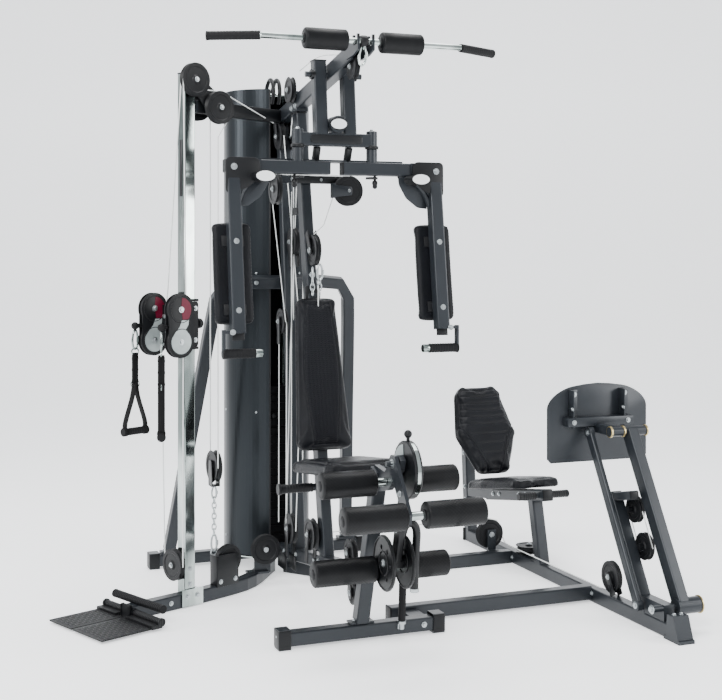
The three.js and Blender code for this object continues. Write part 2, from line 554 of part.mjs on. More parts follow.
// ---------------------------------------------------------------- leg press
function pressFrame() {
  const beam = tube([PRESS_X, PRESS_FRONT, BASE_Z], [PRESS_X, PRESS_REAR, BASE_Z], TUBE, BASE_H);
  const foot = platYZ([[-445, 0], [-350, 0], [-350, 12], [-364, 14], [-370, 92], [-408, 92],
    [-436, 14], [-445, 12]], PRESS_X, 66);
  const backPost = tube([PRESS_X, 1292, 30], [PRESS_X, 1338, 560]);
  const mast = tube([PRESS_X, -206, 30], [PRESS_X, 34, 452]);
  const strut = tube([PRESS_X, 30, 440], [PRESS_X, -112, 470], 40, 34);
  const hubBlock = block([PRESS_X, -262, 83], [44, 150, 60]);
  const pin = rod([PRESS_X - 66, PRESS_PIVOT[1], PRESS_PIVOT[2]],
    [PRESS_X + 146, PRESS_PIVOT[1], PRESS_PIVOT[2]], 12);
  const rail = tube([PRESS_X, 1085, 262], [PRESS_X, 548, 352]);
  const seatPost = tube([PRESS_X, 590, 30], [PRESS_X, 660, 318]);
  const handle = rod([PRESS_X - 118, 586, 346], [PRESS_X + 118, 586, 346], 12);
  const tail = tube([PRESS_X, 1052, 268], [PRESS_X, 1305, 236], 44, 44);
  return join(beam, foot, backPost, mast, strut, hubBlock, pin, rail, seatPost, handle, tail);
}
add('press_frame', paint, pressFrame());

function pressLever() {
  const [x, y0, z0] = PRESS_PIVOT;
  const x1 = x + 62;
  const bar = tube([x1, y0, z0], [x1, PRESS_TOP[1], PRESS_TOP[2]], 44, 56);
  const lowHub = rod([x + 34, y0, z0], [x + 140, y0, z0], 30, 24);
  const topHub = rod([x + 34, PRESS_TOP[1], PRESS_TOP[2]], [x + 136, PRESS_TOP[1], PRESS_TOP[2]], 19, 20);
  return cut(join(bar, lowHub, topHub), rod([x, y0, z0], [x + 170, y0, z0], 12.6));
}
add('press_lever', paint, pressLever());

const LEVER = [PRESS_TOP[1] - PRESS_PIVOT[1], PRESS_TOP[2] - PRESS_PIVOT[2]];
const LINK_FOOT = [LINK_PIVOT_Y, 84];
const LINK_HEAD = [LINK_FOOT[0] + LEVER[0], LINK_FOOT[1] + LEVER[1]];
add('press_link', paint, join(
  tube([PRESS_X - 46, ...LINK_FOOT], [PRESS_X - 46, ...LINK_HEAD], 20, 40),
  rod([PRESS_X - 57, ...LINK_FOOT], [PRESS_X - 34, ...LINK_FOOT], 22),
  rod([PRESS_X - 57, ...LINK_HEAD], [PRESS_X - 34, ...LINK_HEAD], 22)));

function footPlate() {
  const y = 176;
  const half = 228;
  const [low, high] = [556, 868];
  const outline = new THREE.Shape();
  outline.moveTo(-half + 40, low);
  outline.absarc(half - 24, low + 16, 16, -Math.PI / 2, 0);
  outline.lineTo(half, high - 62);
  outline.lineTo(half - 96, high - 10);
  outline.lineTo(0, high);
  outline.lineTo(-half + 96, high - 10);
  outline.lineTo(-half, high - 62);
  outline.absarc(-half + 24, low + 16, 16, Math.PI, Math.PI * 1.5);
  const plate = new THREE.ExtrudeGeometry(outline, { depth: 8, bevelEnabled: false, curveSegments: 6 })
    .rotateX(Math.PI / 2).translate(PRESS_X + 18, y + 8, 0);
  const angle = (x) => join(block([PRESS_X + x, y - 2, 770], [40, 6, 150]),
    block([PRESS_X + x - 17, y - 22, 770], [6, 40, 150]));
  const crossTube = block([PRESS_X + 8, y - 22, 719], [300, 46, 36]);
  const yoke = block([PRESS_X, 88, 694], [40, 152, 36]);
  const barrel = rod([PRESS_X - 33, PRESS_TOP[1], PRESS_TOP[2]],
    [PRESS_X + 33.4, PRESS_TOP[1], PRESS_TOP[2]], 19);
  return join(plate, angle(-98), angle(134), crossTube, yoke, barrel);
}
add('press_foot_plate', paint, footPlate());

const SEAT_SLOPE = Math.atan2(94, 565);
add('press_seat', vinyl, block([0, 0, 0], [300, 436, 44])
  .rotateX(-SEAT_SLOPE).translate(PRESS_X, 845, 356));

function pressBackPad() {
  const points = [[-82, 0], [82, 0], [160, 190], [120, 400], [88, 436], [-88, 436], [-120, 400],
    [-160, 190]];
  const pad = new THREE.ExtrudeGeometry(new THREE.Shape(points.map((p) => new THREE.Vector2(...p))),
    { depth: 56, bevelEnabled: false });
  return pad.rotateX(Math.PI / 2 - rad(28)).translate(PRESS_X, 1064, 354);
}
add('press_back_pad', vinyl, pressBackPad());

// ---------------------------------------------------------------- pulleys
add('cross_pulley_left', iron, pulley([-150, CROSS_Y - 35, CROSS_Z], [1, 0, 0]));
add('cross_pulley_right', iron, pulley([168, CROSS_Y, CROSS_Z], [0, 1, 0]));
add('base_pulley_outer', iron, pulley([...along(205, 0), 146], [-Math.sin(turnA), Math.cos(turnA), 0]));
add('base_pulley_inner', iron, pulley([-104, 872, 148], [0, 1, 0]));
add('column_top_pulley', iron, pulley([TOP_PULLEY_S, -44, 2066], [0, 1, 0], 66), columnGroup);
add('column_low_pulley', iron, pulley([-38.5, 30, 162], [1, 0, 0], 62), columnGroup);
add('press_turn_pulley', iron, pulley(TURN, [0, 1, 0], 64));

// The leg press cable: level from the tower to the turning pulley, then along the beam.
const CABLE_R = 2.5;
const WRAP = 66.8;
const wrapPoint = (angle) => [TURN[0] + WRAP * Math.sin(angle), TURN[1], TURN[2] + WRAP * Math.cos(angle)];
add('press_cable', white, pipe([[60, TURN[1], TURN[2] + WRAP], [500, TURN[1], TURN[2] + WRAP],
  [900, TURN[1], TURN[2] + WRAP], wrapPoint(0), wrapPoint(0.4), wrapPoint(0.8), wrapPoint(1.2),
  wrapPoint(Math.PI / 2), [1018, 895, 92], [1019, 868, 82], [1019, 820, 80], [1019, 500, 80],
  [1019, 60, 80]], CABLE_R, 44, 6));

// The origin is the middle of the footprint on the floor.
const box = new THREE.Box3().setFromObject(gym);
gym.position.set(-(box.min.x + box.max.x) / 2, -(box.min.y + box.max.y) / 2, -box.min.z);

export default gym;
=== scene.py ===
import math

import bmesh
import bpy
import numpy as np
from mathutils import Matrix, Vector


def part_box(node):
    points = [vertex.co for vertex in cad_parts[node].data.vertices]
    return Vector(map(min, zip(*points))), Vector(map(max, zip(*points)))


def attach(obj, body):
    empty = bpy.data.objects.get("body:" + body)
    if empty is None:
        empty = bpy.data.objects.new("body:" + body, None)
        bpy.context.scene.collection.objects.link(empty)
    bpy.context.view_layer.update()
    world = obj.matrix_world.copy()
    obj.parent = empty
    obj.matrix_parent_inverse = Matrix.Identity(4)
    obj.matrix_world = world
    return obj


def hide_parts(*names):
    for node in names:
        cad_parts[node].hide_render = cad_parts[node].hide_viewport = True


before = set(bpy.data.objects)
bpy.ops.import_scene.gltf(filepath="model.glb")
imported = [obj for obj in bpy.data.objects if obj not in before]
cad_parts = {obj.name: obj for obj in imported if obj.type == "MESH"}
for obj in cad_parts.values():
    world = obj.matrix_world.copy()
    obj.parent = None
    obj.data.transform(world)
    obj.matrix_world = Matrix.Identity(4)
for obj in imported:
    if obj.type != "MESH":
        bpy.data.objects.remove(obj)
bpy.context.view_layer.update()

# ------------------------------------------------------------------ coordinates
# Positions below are in millimetres in the CAD source's own frame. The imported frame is
# shifted sideways from it, and the front stabiliser shows by how much.
_low, _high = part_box("front_stabiliser")
SHIFT = Vector(((_low[0] + _high[0]) / 2, (_low[1] + _high[1]) / 2 - 0.025, 0))
TURN = math.radians(23)
COLUMN = (-485.0, 680.0)


def metres(p):
    return Vector((p[0] / 1000, p[1] / 1000, p[2] / 1000)) + SHIFT


def col(s, n, z):
    """A point given along, across and above the column's base arm."""
    return (COLUMN[0] + s * math.cos(TURN) - n * math.sin(TURN),
            COLUMN[1] + s * math.sin(TURN) + n * math.cos(TURN), z)


ALONG = (math.cos(TURN), math.sin(TURN), 0)
ACROSS = (-math.sin(TURN), math.cos(TURN), 0)
NEAR = Vector(ACROSS) * -1      # the side of the column arm that faces the front
UP, DOWN = (0, 0, 1), (0, 0, -1)
RIGHT, LEFT = (1, 0, 0), (-1, 0, 0)
FRONT, REAR = (0, -1, 0), (0, 1, 0)

# Places that several pieces share.
PRESS_X = 1055                  # middle of the leg press
CARRIAGE_Z = 1108               # middle of the carriage
BLOCK_WHEEL = 62                # height of a block's wheels above and below that
UPPER_Z, LOWER_Z = CARRIAGE_Z + BLOCK_WHEEL, CARRIAGE_Z - BLOCK_WHEEL
BLOCK_S = -98                   # axles of the blocks' wheels, along from the column
PIVOT_X, PIVOT_Y = 149, 300     # pivots of the press arms
ARM_X = 404                     # middle of the press arms' uprights
CAM_Y, CAM_Z = -335, 665        # centre of the leg developer's cam
LEVER_Z = 688                   # pivot of the leg lever
DISC_Y, DISC_Z = -235, 335      # centre of the leg developer's discs
SHROUD_Y = 1203                 # centre of the shroud
SHROUD_R = 188                  # radius of the shroud's face
SLOT_ANGLE = math.asin(40 / 189)        # half of the shroud's front opening
HEEL_S, HEEL_Z = -232, 65       # heel bar of the row station
FLOATER = (-351, 766, 527)      # axle of the floating pulley
LAT_BAR_Z = 2140.6              # height of the lat bar

# ------------------------------------------------------------------ camera
scene = bpy.context.scene
camera_data = bpy.data.cameras.new("camera")
camera = bpy.data.objects.new("camera", camera_data)
scene.collection.objects.link(camera)
CAMERA_TURN = math.radians(-21)
camera.location = Vector((-1.6145, -4.18, 1.38)) + SHIFT
camera.rotation_euler = (math.pi / 2, 0, CAMERA_TURN)
camera_data.sensor_width = 36
camera_data.lens = 62.63
camera_data.shift_y = -0.1319
camera_data.clip_end = 60
scene.camera = camera


# ------------------------------------------------------------------ materials
def shader(m):
    return m.node_tree.nodes["Principled BSDF"]


def material(name, color, rough, metal=0.0, coat=0.0, specular=0.5):
    m = bpy.data.materials.new(name)
    m.use_nodes = True
    p = shader(m)
    p.inputs["Base Color"].default_value = (*color, 1)
    p.inputs["Roughness"].default_value = rough
    p.inputs["Metallic"].default_value = metal
    p.inputs["Specular IOR Level"].default_value = specular
    p.inputs["Coat Weight"].default_value = coat
    p.inputs["Coat Roughness"].default_value = 0.2
    m.diffuse_color = (*color, 1)
    return m


def node(m, kind, **values):
    n = m.node_tree.nodes.new(kind)
    for key, value in values.items():
        if key in n.inputs:
            n.inputs[key].default_value = value
        else:
            setattr(n, key, value)
    return n


def link(m, a, out, b, into):
    m.node_tree.links.new(a.outputs[out], b.inputs[into])


def math_node(m, op, a, b=None):
    n = m.node_tree.nodes.new("ShaderNodeMath")
    n.operation = op
    for i, v in enumerate((a, b)):
        if v is None:
            continue
        if isinstance(v, tuple):
            link(m, *v, n, i)
        else:
            n.inputs[i].default_value = v
    return n, 0


def coords(m):
    return node(m, "ShaderNodeTexCoord"), "Object"


def noise(m, scale, detail=3.0, stretch=None):
    tex = coords(m)
    n = node(m, "ShaderNodeTexNoise", Scale=scale, Detail=detail, Roughness=0.55)
    if stretch:
        mapping = node(m, "ShaderNodeMapping", Scale=stretch)
        link(m, *tex, mapping, "Vector")
        link(m, mapping, "Vector", n, "Vector")
    else:
        link(m, *tex, n, "Vector")
    return n


def bump(m, source, strength, distance, chain=None):
    b = node(m, "ShaderNodeBump", Strength=strength, Distance=distance)
    link(m, *source, b, "Height")
    if chain:
        link(m, chain, "Normal", b, "Normal")
    link(m, b, "Normal", shader(m), "Normal")
    return b


def vary(m, color, other, scale, stretch=None):
    """Base colour that drifts between two tones: close tones give an uneven finish, and the chrome's
    far-apart tones give a painted reflection.
    """
    n = noise(m, scale, 4.0, stretch)
    ramp = m.node_tree.nodes.new("ShaderNodeValToRGB")
    for stop, position, tone in zip(ramp.color_ramp.elements, (0.4, 0.62), (color, other)):
        stop.position = position
        stop.color = (*tone, 1)
    link(m, n, "Fac", ramp, "Fac")
    link(m, ramp, "Color", shader(m), "Base Color")


def rough_vary(m, low, high, scale, stretch=None):
    n = noise(m, scale, 5.0, stretch)
    r = node(m, "ShaderNodeMapRange")
    r.inputs["To Min"].default_value = low
    r.inputs["To Max"].default_value = high
    link(m, n, "Fac", r, "Value")
    link(m, r, "Result", shader(m), "Roughness")


def powder_coat(name, color, other, rough):
    m = material(name, color, rough, metal=0.25, specular=0.42)
    vary(m, color, other, 2.2)
    rough_vary(m, rough - 0.05, rough + 0.08, 14)
    grain = noise(m, 900, 2.0)
    wave = noise(m, 140, 2.0)
    first = bump(m, (grain, "Fac"), 0.12, 0.0004)
    bump(m, (wave, "Fac"), 0.06, 0.0012, first)
    return m


PAINT = powder_coat("slate powder coat", (0.0135, 0.0165, 0.0205), (0.018, 0.0215, 0.026), 0.31)
PAINT_DARK = powder_coat("dark powder coat", (0.003, 0.0036, 0.0046), (0.0042, 0.005, 0.0062), 0.34)

SHROUD = material("shroud steel", (0.026, 0.031, 0.035), 0.30, metal=0.7, specular=0.4)
vary(SHROUD, (0.014, 0.0175, 0.0205), (0.019, 0.023, 0.027), 1.2, stretch=(1, 1, 0.15))
bump(SHROUD, (noise(SHROUD, 700, 2.0), "Fac"), 0.08, 0.0004)

CHROME = material("polished chrome", (0.42, 0.47, 0.46), 0.07, metal=1.0)
# Painted reflection: the chrome's base colour swings between dark and bright streaks, drawn out along the
# height, in place of reflected surroundings.
vary(CHROME, (0.20, 0.235, 0.225), (0.60, 0.66, 0.64), 6.0, stretch=(1, 1, 0.3))
rough_vary(CHROME, 0.05, 0.13, 30, stretch=(1, 1, 0.05))
STEEL = material("zinc plated steel", (0.42, 0.45, 0.46), 0.26, metal=1.0)
rough_vary(STEEL, 0.2, 0.42, 160)
bump(STEEL, (noise(STEEL, 600, 3.0), "Fac"), 0.1, 0.0002)
BRASS = material("brass bush", (0.66, 0.52, 0.25), 0.3, metal=1.0)
rough_vary(BRASS, 0.22, 0.4, 120)
PLASTIC = material("moulded nylon", (0.005, 0.0055, 0.0065), 0.42, specular=0.24)
rough_vary(PLASTIC, 0.34, 0.5, 60)
bump(PLASTIC, (noise(PLASTIC, 1400, 2.0), "Fac"), 0.15, 0.0003)
RUBBER = material("rubber grip", (0.004, 0.0042, 0.005), 0.6, specular=0.18)
bump(RUBBER, (noise(RUBBER, 1100, 2.0), "Fac"), 0.25, 0.0004)
CABLE = material("coated cable", (0.70, 0.72, 0.71), 0.3, specular=0.6, coat=0.4)
rough_vary(CABLE, 0.25, 0.4, 80)
IRON = material("enamelled iron", (0.003, 0.003, 0.0035), 0.48, specular=0.22)
vary(IRON, (0.004, 0.004, 0.005), (0.008, 0.008, 0.009), 20)
bump(IRON, (noise(IRON, 320, 4.0), "Fac"), 0.3, 0.0006)
BADGE = material("enamel badge", (0.78, 0.80, 0.80), 0.22, coat=0.8)
rough_vary(BADGE, 0.18, 0.28, 50)
RED = material("dark red enamel", (0.10, 0.004, 0.018), 0.4, specular=0.2)
rough_vary(RED, 0.25, 0.36, 50)
LIGHT = material("light grey enamel", (0.30, 0.34, 0.34), 0.4, metal=0.2, specular=0.3)
vary(LIGHT, (0.28, 0.32, 0.32), (0.36, 0.40, 0.40), 12)
WEB = material("nylon webbing", (0.003, 0.003, 0.0035), 0.7, specular=0.15)
_t = coords(WEB)
_w = node(WEB, "ShaderNodeTexWave", Scale=420.0, Distortion=0.0)
_w.bands_direction = "DIAGONAL"
link(WEB, *_t, _w, "Vector")
bump(WEB, (_w, "Fac"), 0.5, 0.0006)


def leather(name, color, other, rough, scale):
    """Grained vinyl: cells of creases over a soft unevenness."""
    m = material(name, color, rough, specular=0.16)
    vary(m, color, other, 9)
    rough_vary(m, rough - 0.06, rough + 0.1, 70)
    cells = node(m, "ShaderNodeTexVoronoi", Scale=scale)
    cells.feature = "DISTANCE_TO_EDGE"
    tex = coords(m)
    link(m, *tex, cells, "Vector")
    clamp = node(m, "ShaderNodeMapRange")
    clamp.inputs["From Max"].default_value = 0.12
    link(m, cells, "Distance", clamp, "Value")
    soft = bump(m, (noise(m, 55, 3.0), "Fac"), 0.12, 0.002)
    bump(m, (clamp, "Result"), 0.35, 0.0006, soft)
    return m


VINYL = leather("black vinyl", (0.0025, 0.003, 0.0045), (0.004, 0.0047, 0.0068), 0.33, 420)

# The seat back's centre panel: rows of short raised chevrons.
PANEL = material("ribbed vinyl panel", (0.003, 0.0035, 0.0055), 0.36, specular=0.16)
_t = coords(PANEL)
_sep = node(PANEL, "ShaderNodeSeparateXYZ")
link(PANEL, *_t, _sep, "Vector")
_down = math_node(PANEL, "MULTIPLY", (_sep, "Z"), 880.0)
_zigzag = math_node(PANEL, "SINE", math_node(PANEL, "MULTIPLY", (_sep, "X"), 420.0))
_row = math_node(PANEL, "SINE", math_node(PANEL, "ADD", _down, math_node(PANEL, "MULTIPLY", _zigzag, 1.3)))
bump(PANEL, _row, 0.55, 0.0011)
rough_vary(PANEL, 0.36, 0.5, 80)

FOAM = material("foam rubber", (0.002, 0.0023, 0.003), 0.4, specular=0.2)
vary(FOAM, (0.002, 0.0023, 0.003), (0.003, 0.0034, 0.0042), 30)
rough_vary(FOAM, 0.34, 0.48, 40)
bump(FOAM, (noise(FOAM, 700, 3.0), "Fac"), 0.3, 0.0005)

# Tread plate: short bars at right angles on a square grid.
TREAD = material("tread plate", (0.006, 0.0065, 0.0075), 0.4, metal=0.2, specular=0.3)
_t = coords(TREAD)
_map = node(TREAD, "ShaderNodeMapping")
_map.inputs["Rotation"].default_value = (0, 0, -TURN)
link(TREAD, *_t, _map, "Vector")
_sep = node(TREAD, "ShaderNodeSeparateXYZ")
link(TREAD, _map, "Vector", _sep, "Vector")
_bars = []
for _way in ("ADD", "SUBTRACT"):
    _slope = math_node(TREAD, _way, (_sep, "X"), (_sep, "Y"))
    _bars.append(math_node(TREAD, "SINE", math_node(TREAD, "MULTIPLY", _slope, 330.0)))
_grid = math_node(TREAD, "MULTIPLY", *_bars)
_cut = node(TREAD, "ShaderNodeMapRange")
_cut.inputs["From Min"].default_value = 0.25
_cut.inputs["From Max"].default_value = 0.75
link(TREAD, *_grid, _cut, "Value")
bump(TREAD, (_cut, "Result"), 1.0, 0.004)
rough_vary(TREAD, 0.38, 0.56, 60)


# ------------------------------------------------------------------ floor and light
def stage_and_light():
    bm = bmesh.new()
    reach, back, rise = 12.0, 9.0, 9.0
    rows = [(-reach, 0.0), (back - 3, 0.0)]
    rows += [(back - 3 + 3 * math.sin(a), 3 - 3 * math.cos(a))
             for a in np.linspace(0.1, math.pi / 2, 12)] + [(back, rise)]
    lines = [[bm.verts.new((x, y, z)) for x in (-reach, reach)] for y, z in rows]
    for a, b in zip(lines, lines[1:]):
        bm.faces.new((a[0], a[1], b[1], b[0]))
    mesh = bpy.data.meshes.new("floor")
    bm.to_mesh(mesh)
    mesh.polygons.foreach_set("use_smooth", [True] * len(mesh.polygons))
    floor = bpy.data.objects.new("floor", mesh)
    scene.collection.objects.link(floor)
    floor.rotation_euler = (0, 0, CAMERA_TURN)
    m = material("pale floor", (0.90, 0.905, 0.91), 0.7, specular=0.1)
    vary(m, (0.895, 0.90, 0.905), (0.91, 0.915, 0.92), 1.5)
    shader(m).inputs["Emission Color"].default_value = (0.96, 0.98, 1.0, 1)
    shader(m).inputs["Emission Strength"].default_value = 0.75
    mesh.materials.append(m)

    world = bpy.data.worlds.new("studio")
    scene.world = world
    world.use_nodes = True
    background = world.node_tree.nodes["Background"]
    background.inputs["Color"].default_value = (0.95, 0.97, 1.0, 1)
    background.inputs["Strength"].default_value = 0.95

    def area(name, place, target, size, energy):
        data = bpy.data.lights.new(name, "AREA")
        data.shape = "RECTANGLE"
        data.size, data.size_y = size
        data.energy = energy
        lamp = bpy.data.objects.new(name, data)
        scene.collection.objects.link(lamp)
        lamp.location = place
        lamp.rotation_euler = (Vector(target) - Vector(place)).to_track_quat("-Z", "Y").to_euler()

    area("key", (-3.4, -4.6, 4.2), (0.1, 0, 0.9), (2.4, 2.4), 330)
    area("fill", (4.2, -3.4, 2.2), (0.1, 0, 0.8), (1.6, 2.8), 150)
    area("top", (0, 0.4, 5.0), (0, 0, 0), (4.0, 3.0), 230)
    area("side", (-4.6, 1.0, 2.6), (0, 0, 1.0), (1.2, 2.6), 110)


stage_and_light()


# ------------------------------------------------------------------ CAD nodes
def dress(names, mat, bevel=1.6):
    for name in names:
        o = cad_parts[name]
        o.data.materials.clear()
        o.data.materials.append(mat)
        if bevel:
            b = o.modifiers.new("edge", "BEVEL")
            b.width = bevel / 1000
            b.segments = 2
            b.limit_method = "ANGLE"
            b.angle_limit = math.radians(38)
            b.harden_normals = True


dress(["front_stabiliser", "rear_stabiliser", "seat_frame", "column_arm", "link_arm", "front_link_beam",
       "mast", "rear_upright", "boom", "arch_frame", "press_hanger", "left_press_arm", "right_press_arm",
       "shin_arm", "press_frame", "press_lever", "press_link"], PAINT)
dress(["leg_lever"], PAINT_DARK)
dress(["shroud_left", "shroud_right"], SHROUD, 0)
dress(["guide_rods", "lat_bar", "cable_column"], CHROME, 1.2)
dress(["weight_stack", "weight_head"], IRON, 2.0)
dress(["row_plate_left", "row_plate_right"], TREAD, 1.0)
dress(["carriage"], PLASTIC, 1.5)
dress(["press_cable"], CABLE, 0)


# ------------------------------------------------------------------ mesh helpers
def around(count, again=0):
    """Angles spaced evenly round a circle, with the first one repeated if again is 1."""
    return [2 * math.pi * k / count for k in range(count + again)]


def unit(v):
    return Vector(v).normalized()


def frame_about(axis, across=None):
    """Right-handed axes whose third is the given one."""
    third = unit(axis)
    first = Vector(across) if across else (Vector(UP) if abs(third.z) < 0.9 else Vector(RIGHT))
    first = (first - third * first.dot(third)).normalized()
    return first, third.cross(first), third


def arc(x, y, radius, angles):
    """Outline points at the angles round (x, y)."""
    return [(x + radius * math.cos(t), y + radius * math.sin(t)) for t in angles]


def smooth_path(points, per=8):
    """A Catmull-Rom curve through the points."""
    p = [Vector(q) for q in points]
    p = [p[0] * 2 - p[1]] + p + [p[-1] * 2 - p[-2]]
    out = []
    for i in range(1, len(p) - 2):
        a, b, c, d = p[i - 1:i + 3]
        for k in range(per):
            t = k / per
            out.append(((b * 2) + (c - a) * t + (a * 2 - b * 5 + c * 4 - d) * t * t
                        + (b * 3 - a - c * 3 + d) * t ** 3) * 0.5)
    return out + [p[-2]]


# The slot a piece takes from its material, where it names no other.
SLOTS = {PAINT: "frame_paint", PAINT_DARK: "black_plastic", CHROME: "chrome", STEEL: "steel",
         BRASS: "steel", PLASTIC: "black_plastic", RUBBER: "black_plastic", CABLE: "cable",
         BADGE: "steel", RED: "black_plastic", LIGHT: "steel", WEB: "strap", FOAM: "foam",
         TREAD: "black_plastic"}


class Piece:
    """Gathers solids in millimetres and becomes one object that rides on one body."""

    def __init__(self, name, body, mat, slot=None):
        self.name, self.body, self.mat = name, body, mat
        self.slot = slot or SLOTS[mat]
        self.bm = bmesh.new()

    def faces(self, rings, caps=True):
        """Joins rings of points, each a list of vectors, into a skin."""
        rows = [[self.bm.verts.new(p) for p in ring] for ring in rings]
        n = max(len(r) for r in rows)
        for a, b in zip(rows, rows[1:]):
            for j in range(n):
                k = (j + 1) % n
                if len(a) == 1 and len(b) == 1:
                    continue
                if len(a) == 1:
                    loop = (a[0], b[k], b[j])
                elif len(b) == 1:
                    loop = (a[j], a[k], b[0])
                else:
                    loop = (a[j], a[k], b[k], b[j])
                self.bm.faces.new(loop)
        if caps:
            if len(rows[0]) > 2:
                self.bm.faces.new(rows[0][::-1])
            if len(rows[-1]) > 2:
                self.bm.faces.new(rows[-1])
        return self

    def lathe(self, profile, centre, axis, sides=32):
        """A turned solid: profile is (radius, distance along the axis)."""
        a, b, c = frame_about(axis)
        centre = Vector(centre)
        rings = []
        for r, h in profile:
            if r < 1e-4:
                rings.append([centre + c * h])
            else:
                rings.append([centre + c * h + (a * math.cos(t) + b * math.sin(t)) * r
                              for t in around(sides)])
        return self.faces(rings, caps=profile[0][0] > 1e-4)

    def tube(self, points, radius, sides=14, flat=None, caps=True, across=None):
        """A round cord along the points, or a flat strap if flat is its (width, thickness)."""
        p = [Vector(q) for q in points]
        ways = [(p[min(i + 1, len(p) - 1)] - p[max(i - 1, 0)]).normalized() for i in range(len(p))]
        side = frame_about(ways[0], across)[0]
        rings = []
        for at, way in zip(p, ways):
            side = (side - way * side.dot(way)).normalized()
            up = way.cross(side)
            if flat:
                w, t = flat[0] / 2, flat[1] / 2
                c = min(w, t) * 0.45
                shape = [(w, -t + c), (w, t - c), (w - c, t), (-w + c, t), (-w, t - c), (-w, -t + c),
                         (-w + c, -t), (w - c, -t)]
                rings.append([at + side * x + up * y for x, y in shape])
            else:
                rings.append([at + (side * math.cos(t) + up * math.sin(t)) * radius
                              for t in around(sides)])
        return self.faces(rings, caps=caps)

    def block(self, centre, size, bevel=1.5, along=None, across=None, segments=2):
        """A block with rounded edges. Its sizes run along across, the third axis and along."""
        a, b, c = frame_about(along or UP, across or RIGHT)
        centre = Vector(centre)
        made = bmesh.ops.create_cube(self.bm, size=1)["verts"]
        for v in made:
            v.co = centre + a * v.co.x * size[0] + b * v.co.y * size[1] + c * v.co.z * size[2]
        if bevel:
            edges = list({e for v in made for e in v.link_edges})
            bmesh.ops.bevel(self.bm, geom=edges, offset=bevel, segments=segments, profile=0.5,
                            affect="EDGES", clamp_overlap=True)
        return self

    def plate(self, outline, origin, u, v, thickness, bevel=0.8):
        """A flat plate by its outline in the plane of u and v; it grows along u x v."""
        u, v, origin = unit(u), unit(v), Vector(origin)
        w = u.cross(v).normalized()
        base = [self.bm.verts.new(origin + u * x + v * y) for x, y in outline]
        face = self.bm.faces.new(base)
        got = bmesh.ops.extrude_face_region(self.bm, geom=[face])["geom"]
        moved = [g for g in got if isinstance(g, bmesh.types.BMVert)]
        for vert in moved:
            vert.co += w * thickness
        top = [g for g in got if isinstance(g, bmesh.types.BMFace)]
        skin = {f for vert in base + moved for f in vert.link_faces}
        bmesh.ops.recalc_face_normals(self.bm, faces=list(skin))
        if bevel:
            edges = [e for f in top + [face] if f.is_valid for e in f.edges]
            bmesh.ops.bevel(self.bm, geom=list(set(edges)), offset=bevel, segments=2, profile=0.5,
                            affect="EDGES", clamp_overlap=True)
        return self

    def hex_bolt(self, centre, axis, radius=8, head=5, washer=True):
        """A hexagon head, with its washer, standing on a surface at centre."""
        if washer:
            self.lathe([(radius * 1.5, 0), (radius * 1.5, 1.4), (radius * 1.42, 1.8), (0, 1.8)],
                       centre, axis, 24)
        z = 1.8 if washer else 0
        return self.lathe([(radius, z), (radius, z + head - 1.2), (radius * 0.84, z + head), (0, z + head)],
                          centre, axis, 6)

    def dome_bolt(self, centre, axis, radius=8, head=4):
        """A round button head with a sunk hexagon."""
        self.lathe([(radius, 0), (radius, head * 0.35), (radius * 0.86, head * 0.8), (radius * 0.6, head),
                    (radius * 0.42, head), (radius * 0.36, head * 0.45), (0, head * 0.4)], centre, axis, 24)
        return self

    def ball(self, centre, radius, sides=32):
        steps = sides // 2
        return self.lathe([(radius * math.sin(math.pi * i / steps) if 0 < i < steps else 0,
                            -radius * math.cos(math.pi * i / steps)) for i in range(steps + 1)],
                          centre, UP, sides)

    def done(self, *replaced, sharp=32):
        bmesh.ops.remove_doubles(self.bm, verts=self.bm.verts, dist=0.01)
        bmesh.ops.recalc_face_normals(self.bm, faces=self.bm.faces)
        mesh = bpy.data.meshes.new(self.name)
        for vert in self.bm.verts:
            vert.co = metres(vert.co)
        self.bm.to_mesh(mesh)
        self.bm.free()
        mesh.polygons.foreach_set("use_smooth", [True] * len(mesh.polygons))
        mesh.set_sharp_from_angle(angle=math.radians(sharp))
        mesh.materials.append(self.mat)
        o = bpy.data.objects.new(self.name, mesh)
        scene.collection.objects.link(o)
        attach(o, self.body)
        if replaced:
            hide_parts(*replaced)
        return o


def rounded(points, radius, steps=5):
    """An outline whose corners are rounded off."""
    out = []
    n = len(points)
    for i, p in enumerate(points):
        r = radius[i] if isinstance(radius, (list, tuple)) else radius
        a, b, c = Vector(points[i - 1]), Vector(p), Vector(points[(i + 1) % n])
        u, v = (a - b), (c - b)
        half = u.angle(v) / 2
        cut = min(r / math.tan(half), u.length * 0.48, v.length * 0.48) if r else 0
        if not r or cut < 0.05:
            out.append(tuple(b))
            continue
        start, end = b + u.normalized() * cut, b + v.normalized() * cut
        for k in range(steps + 1):
            t = k / steps
            out.append(tuple((start * (1 - t) ** 2) + (b * 2 * t * (1 - t)) + (end * t * t)))
    return out


def ribbed(first, count, outer, inner, pitch=11, flat=3):
    """The part of a grip's profile that carries count grooves, from the height first."""
    out = []
    for k in range(count):
        h = first + k * pitch
        out += [(outer, h), (inner, h + 2), (inner, h + 2 + flat), (outer, h + 4 + flat)]
    return out


def side_bolts(p, half, places, middle=0):
    """Hexagon bolts on the two sides of a tube that is half wide, at each (y, z)."""
    for y, z in places:
        p.hex_bolt((middle - half, y, z), LEFT, 7)
        p.hex_bolt((middle + half, y, z), RIGHT, 7)


# ------------------------------------------------------------------ cushions
CLOTH_FRAMES = 20               # length of the cushions' swelling


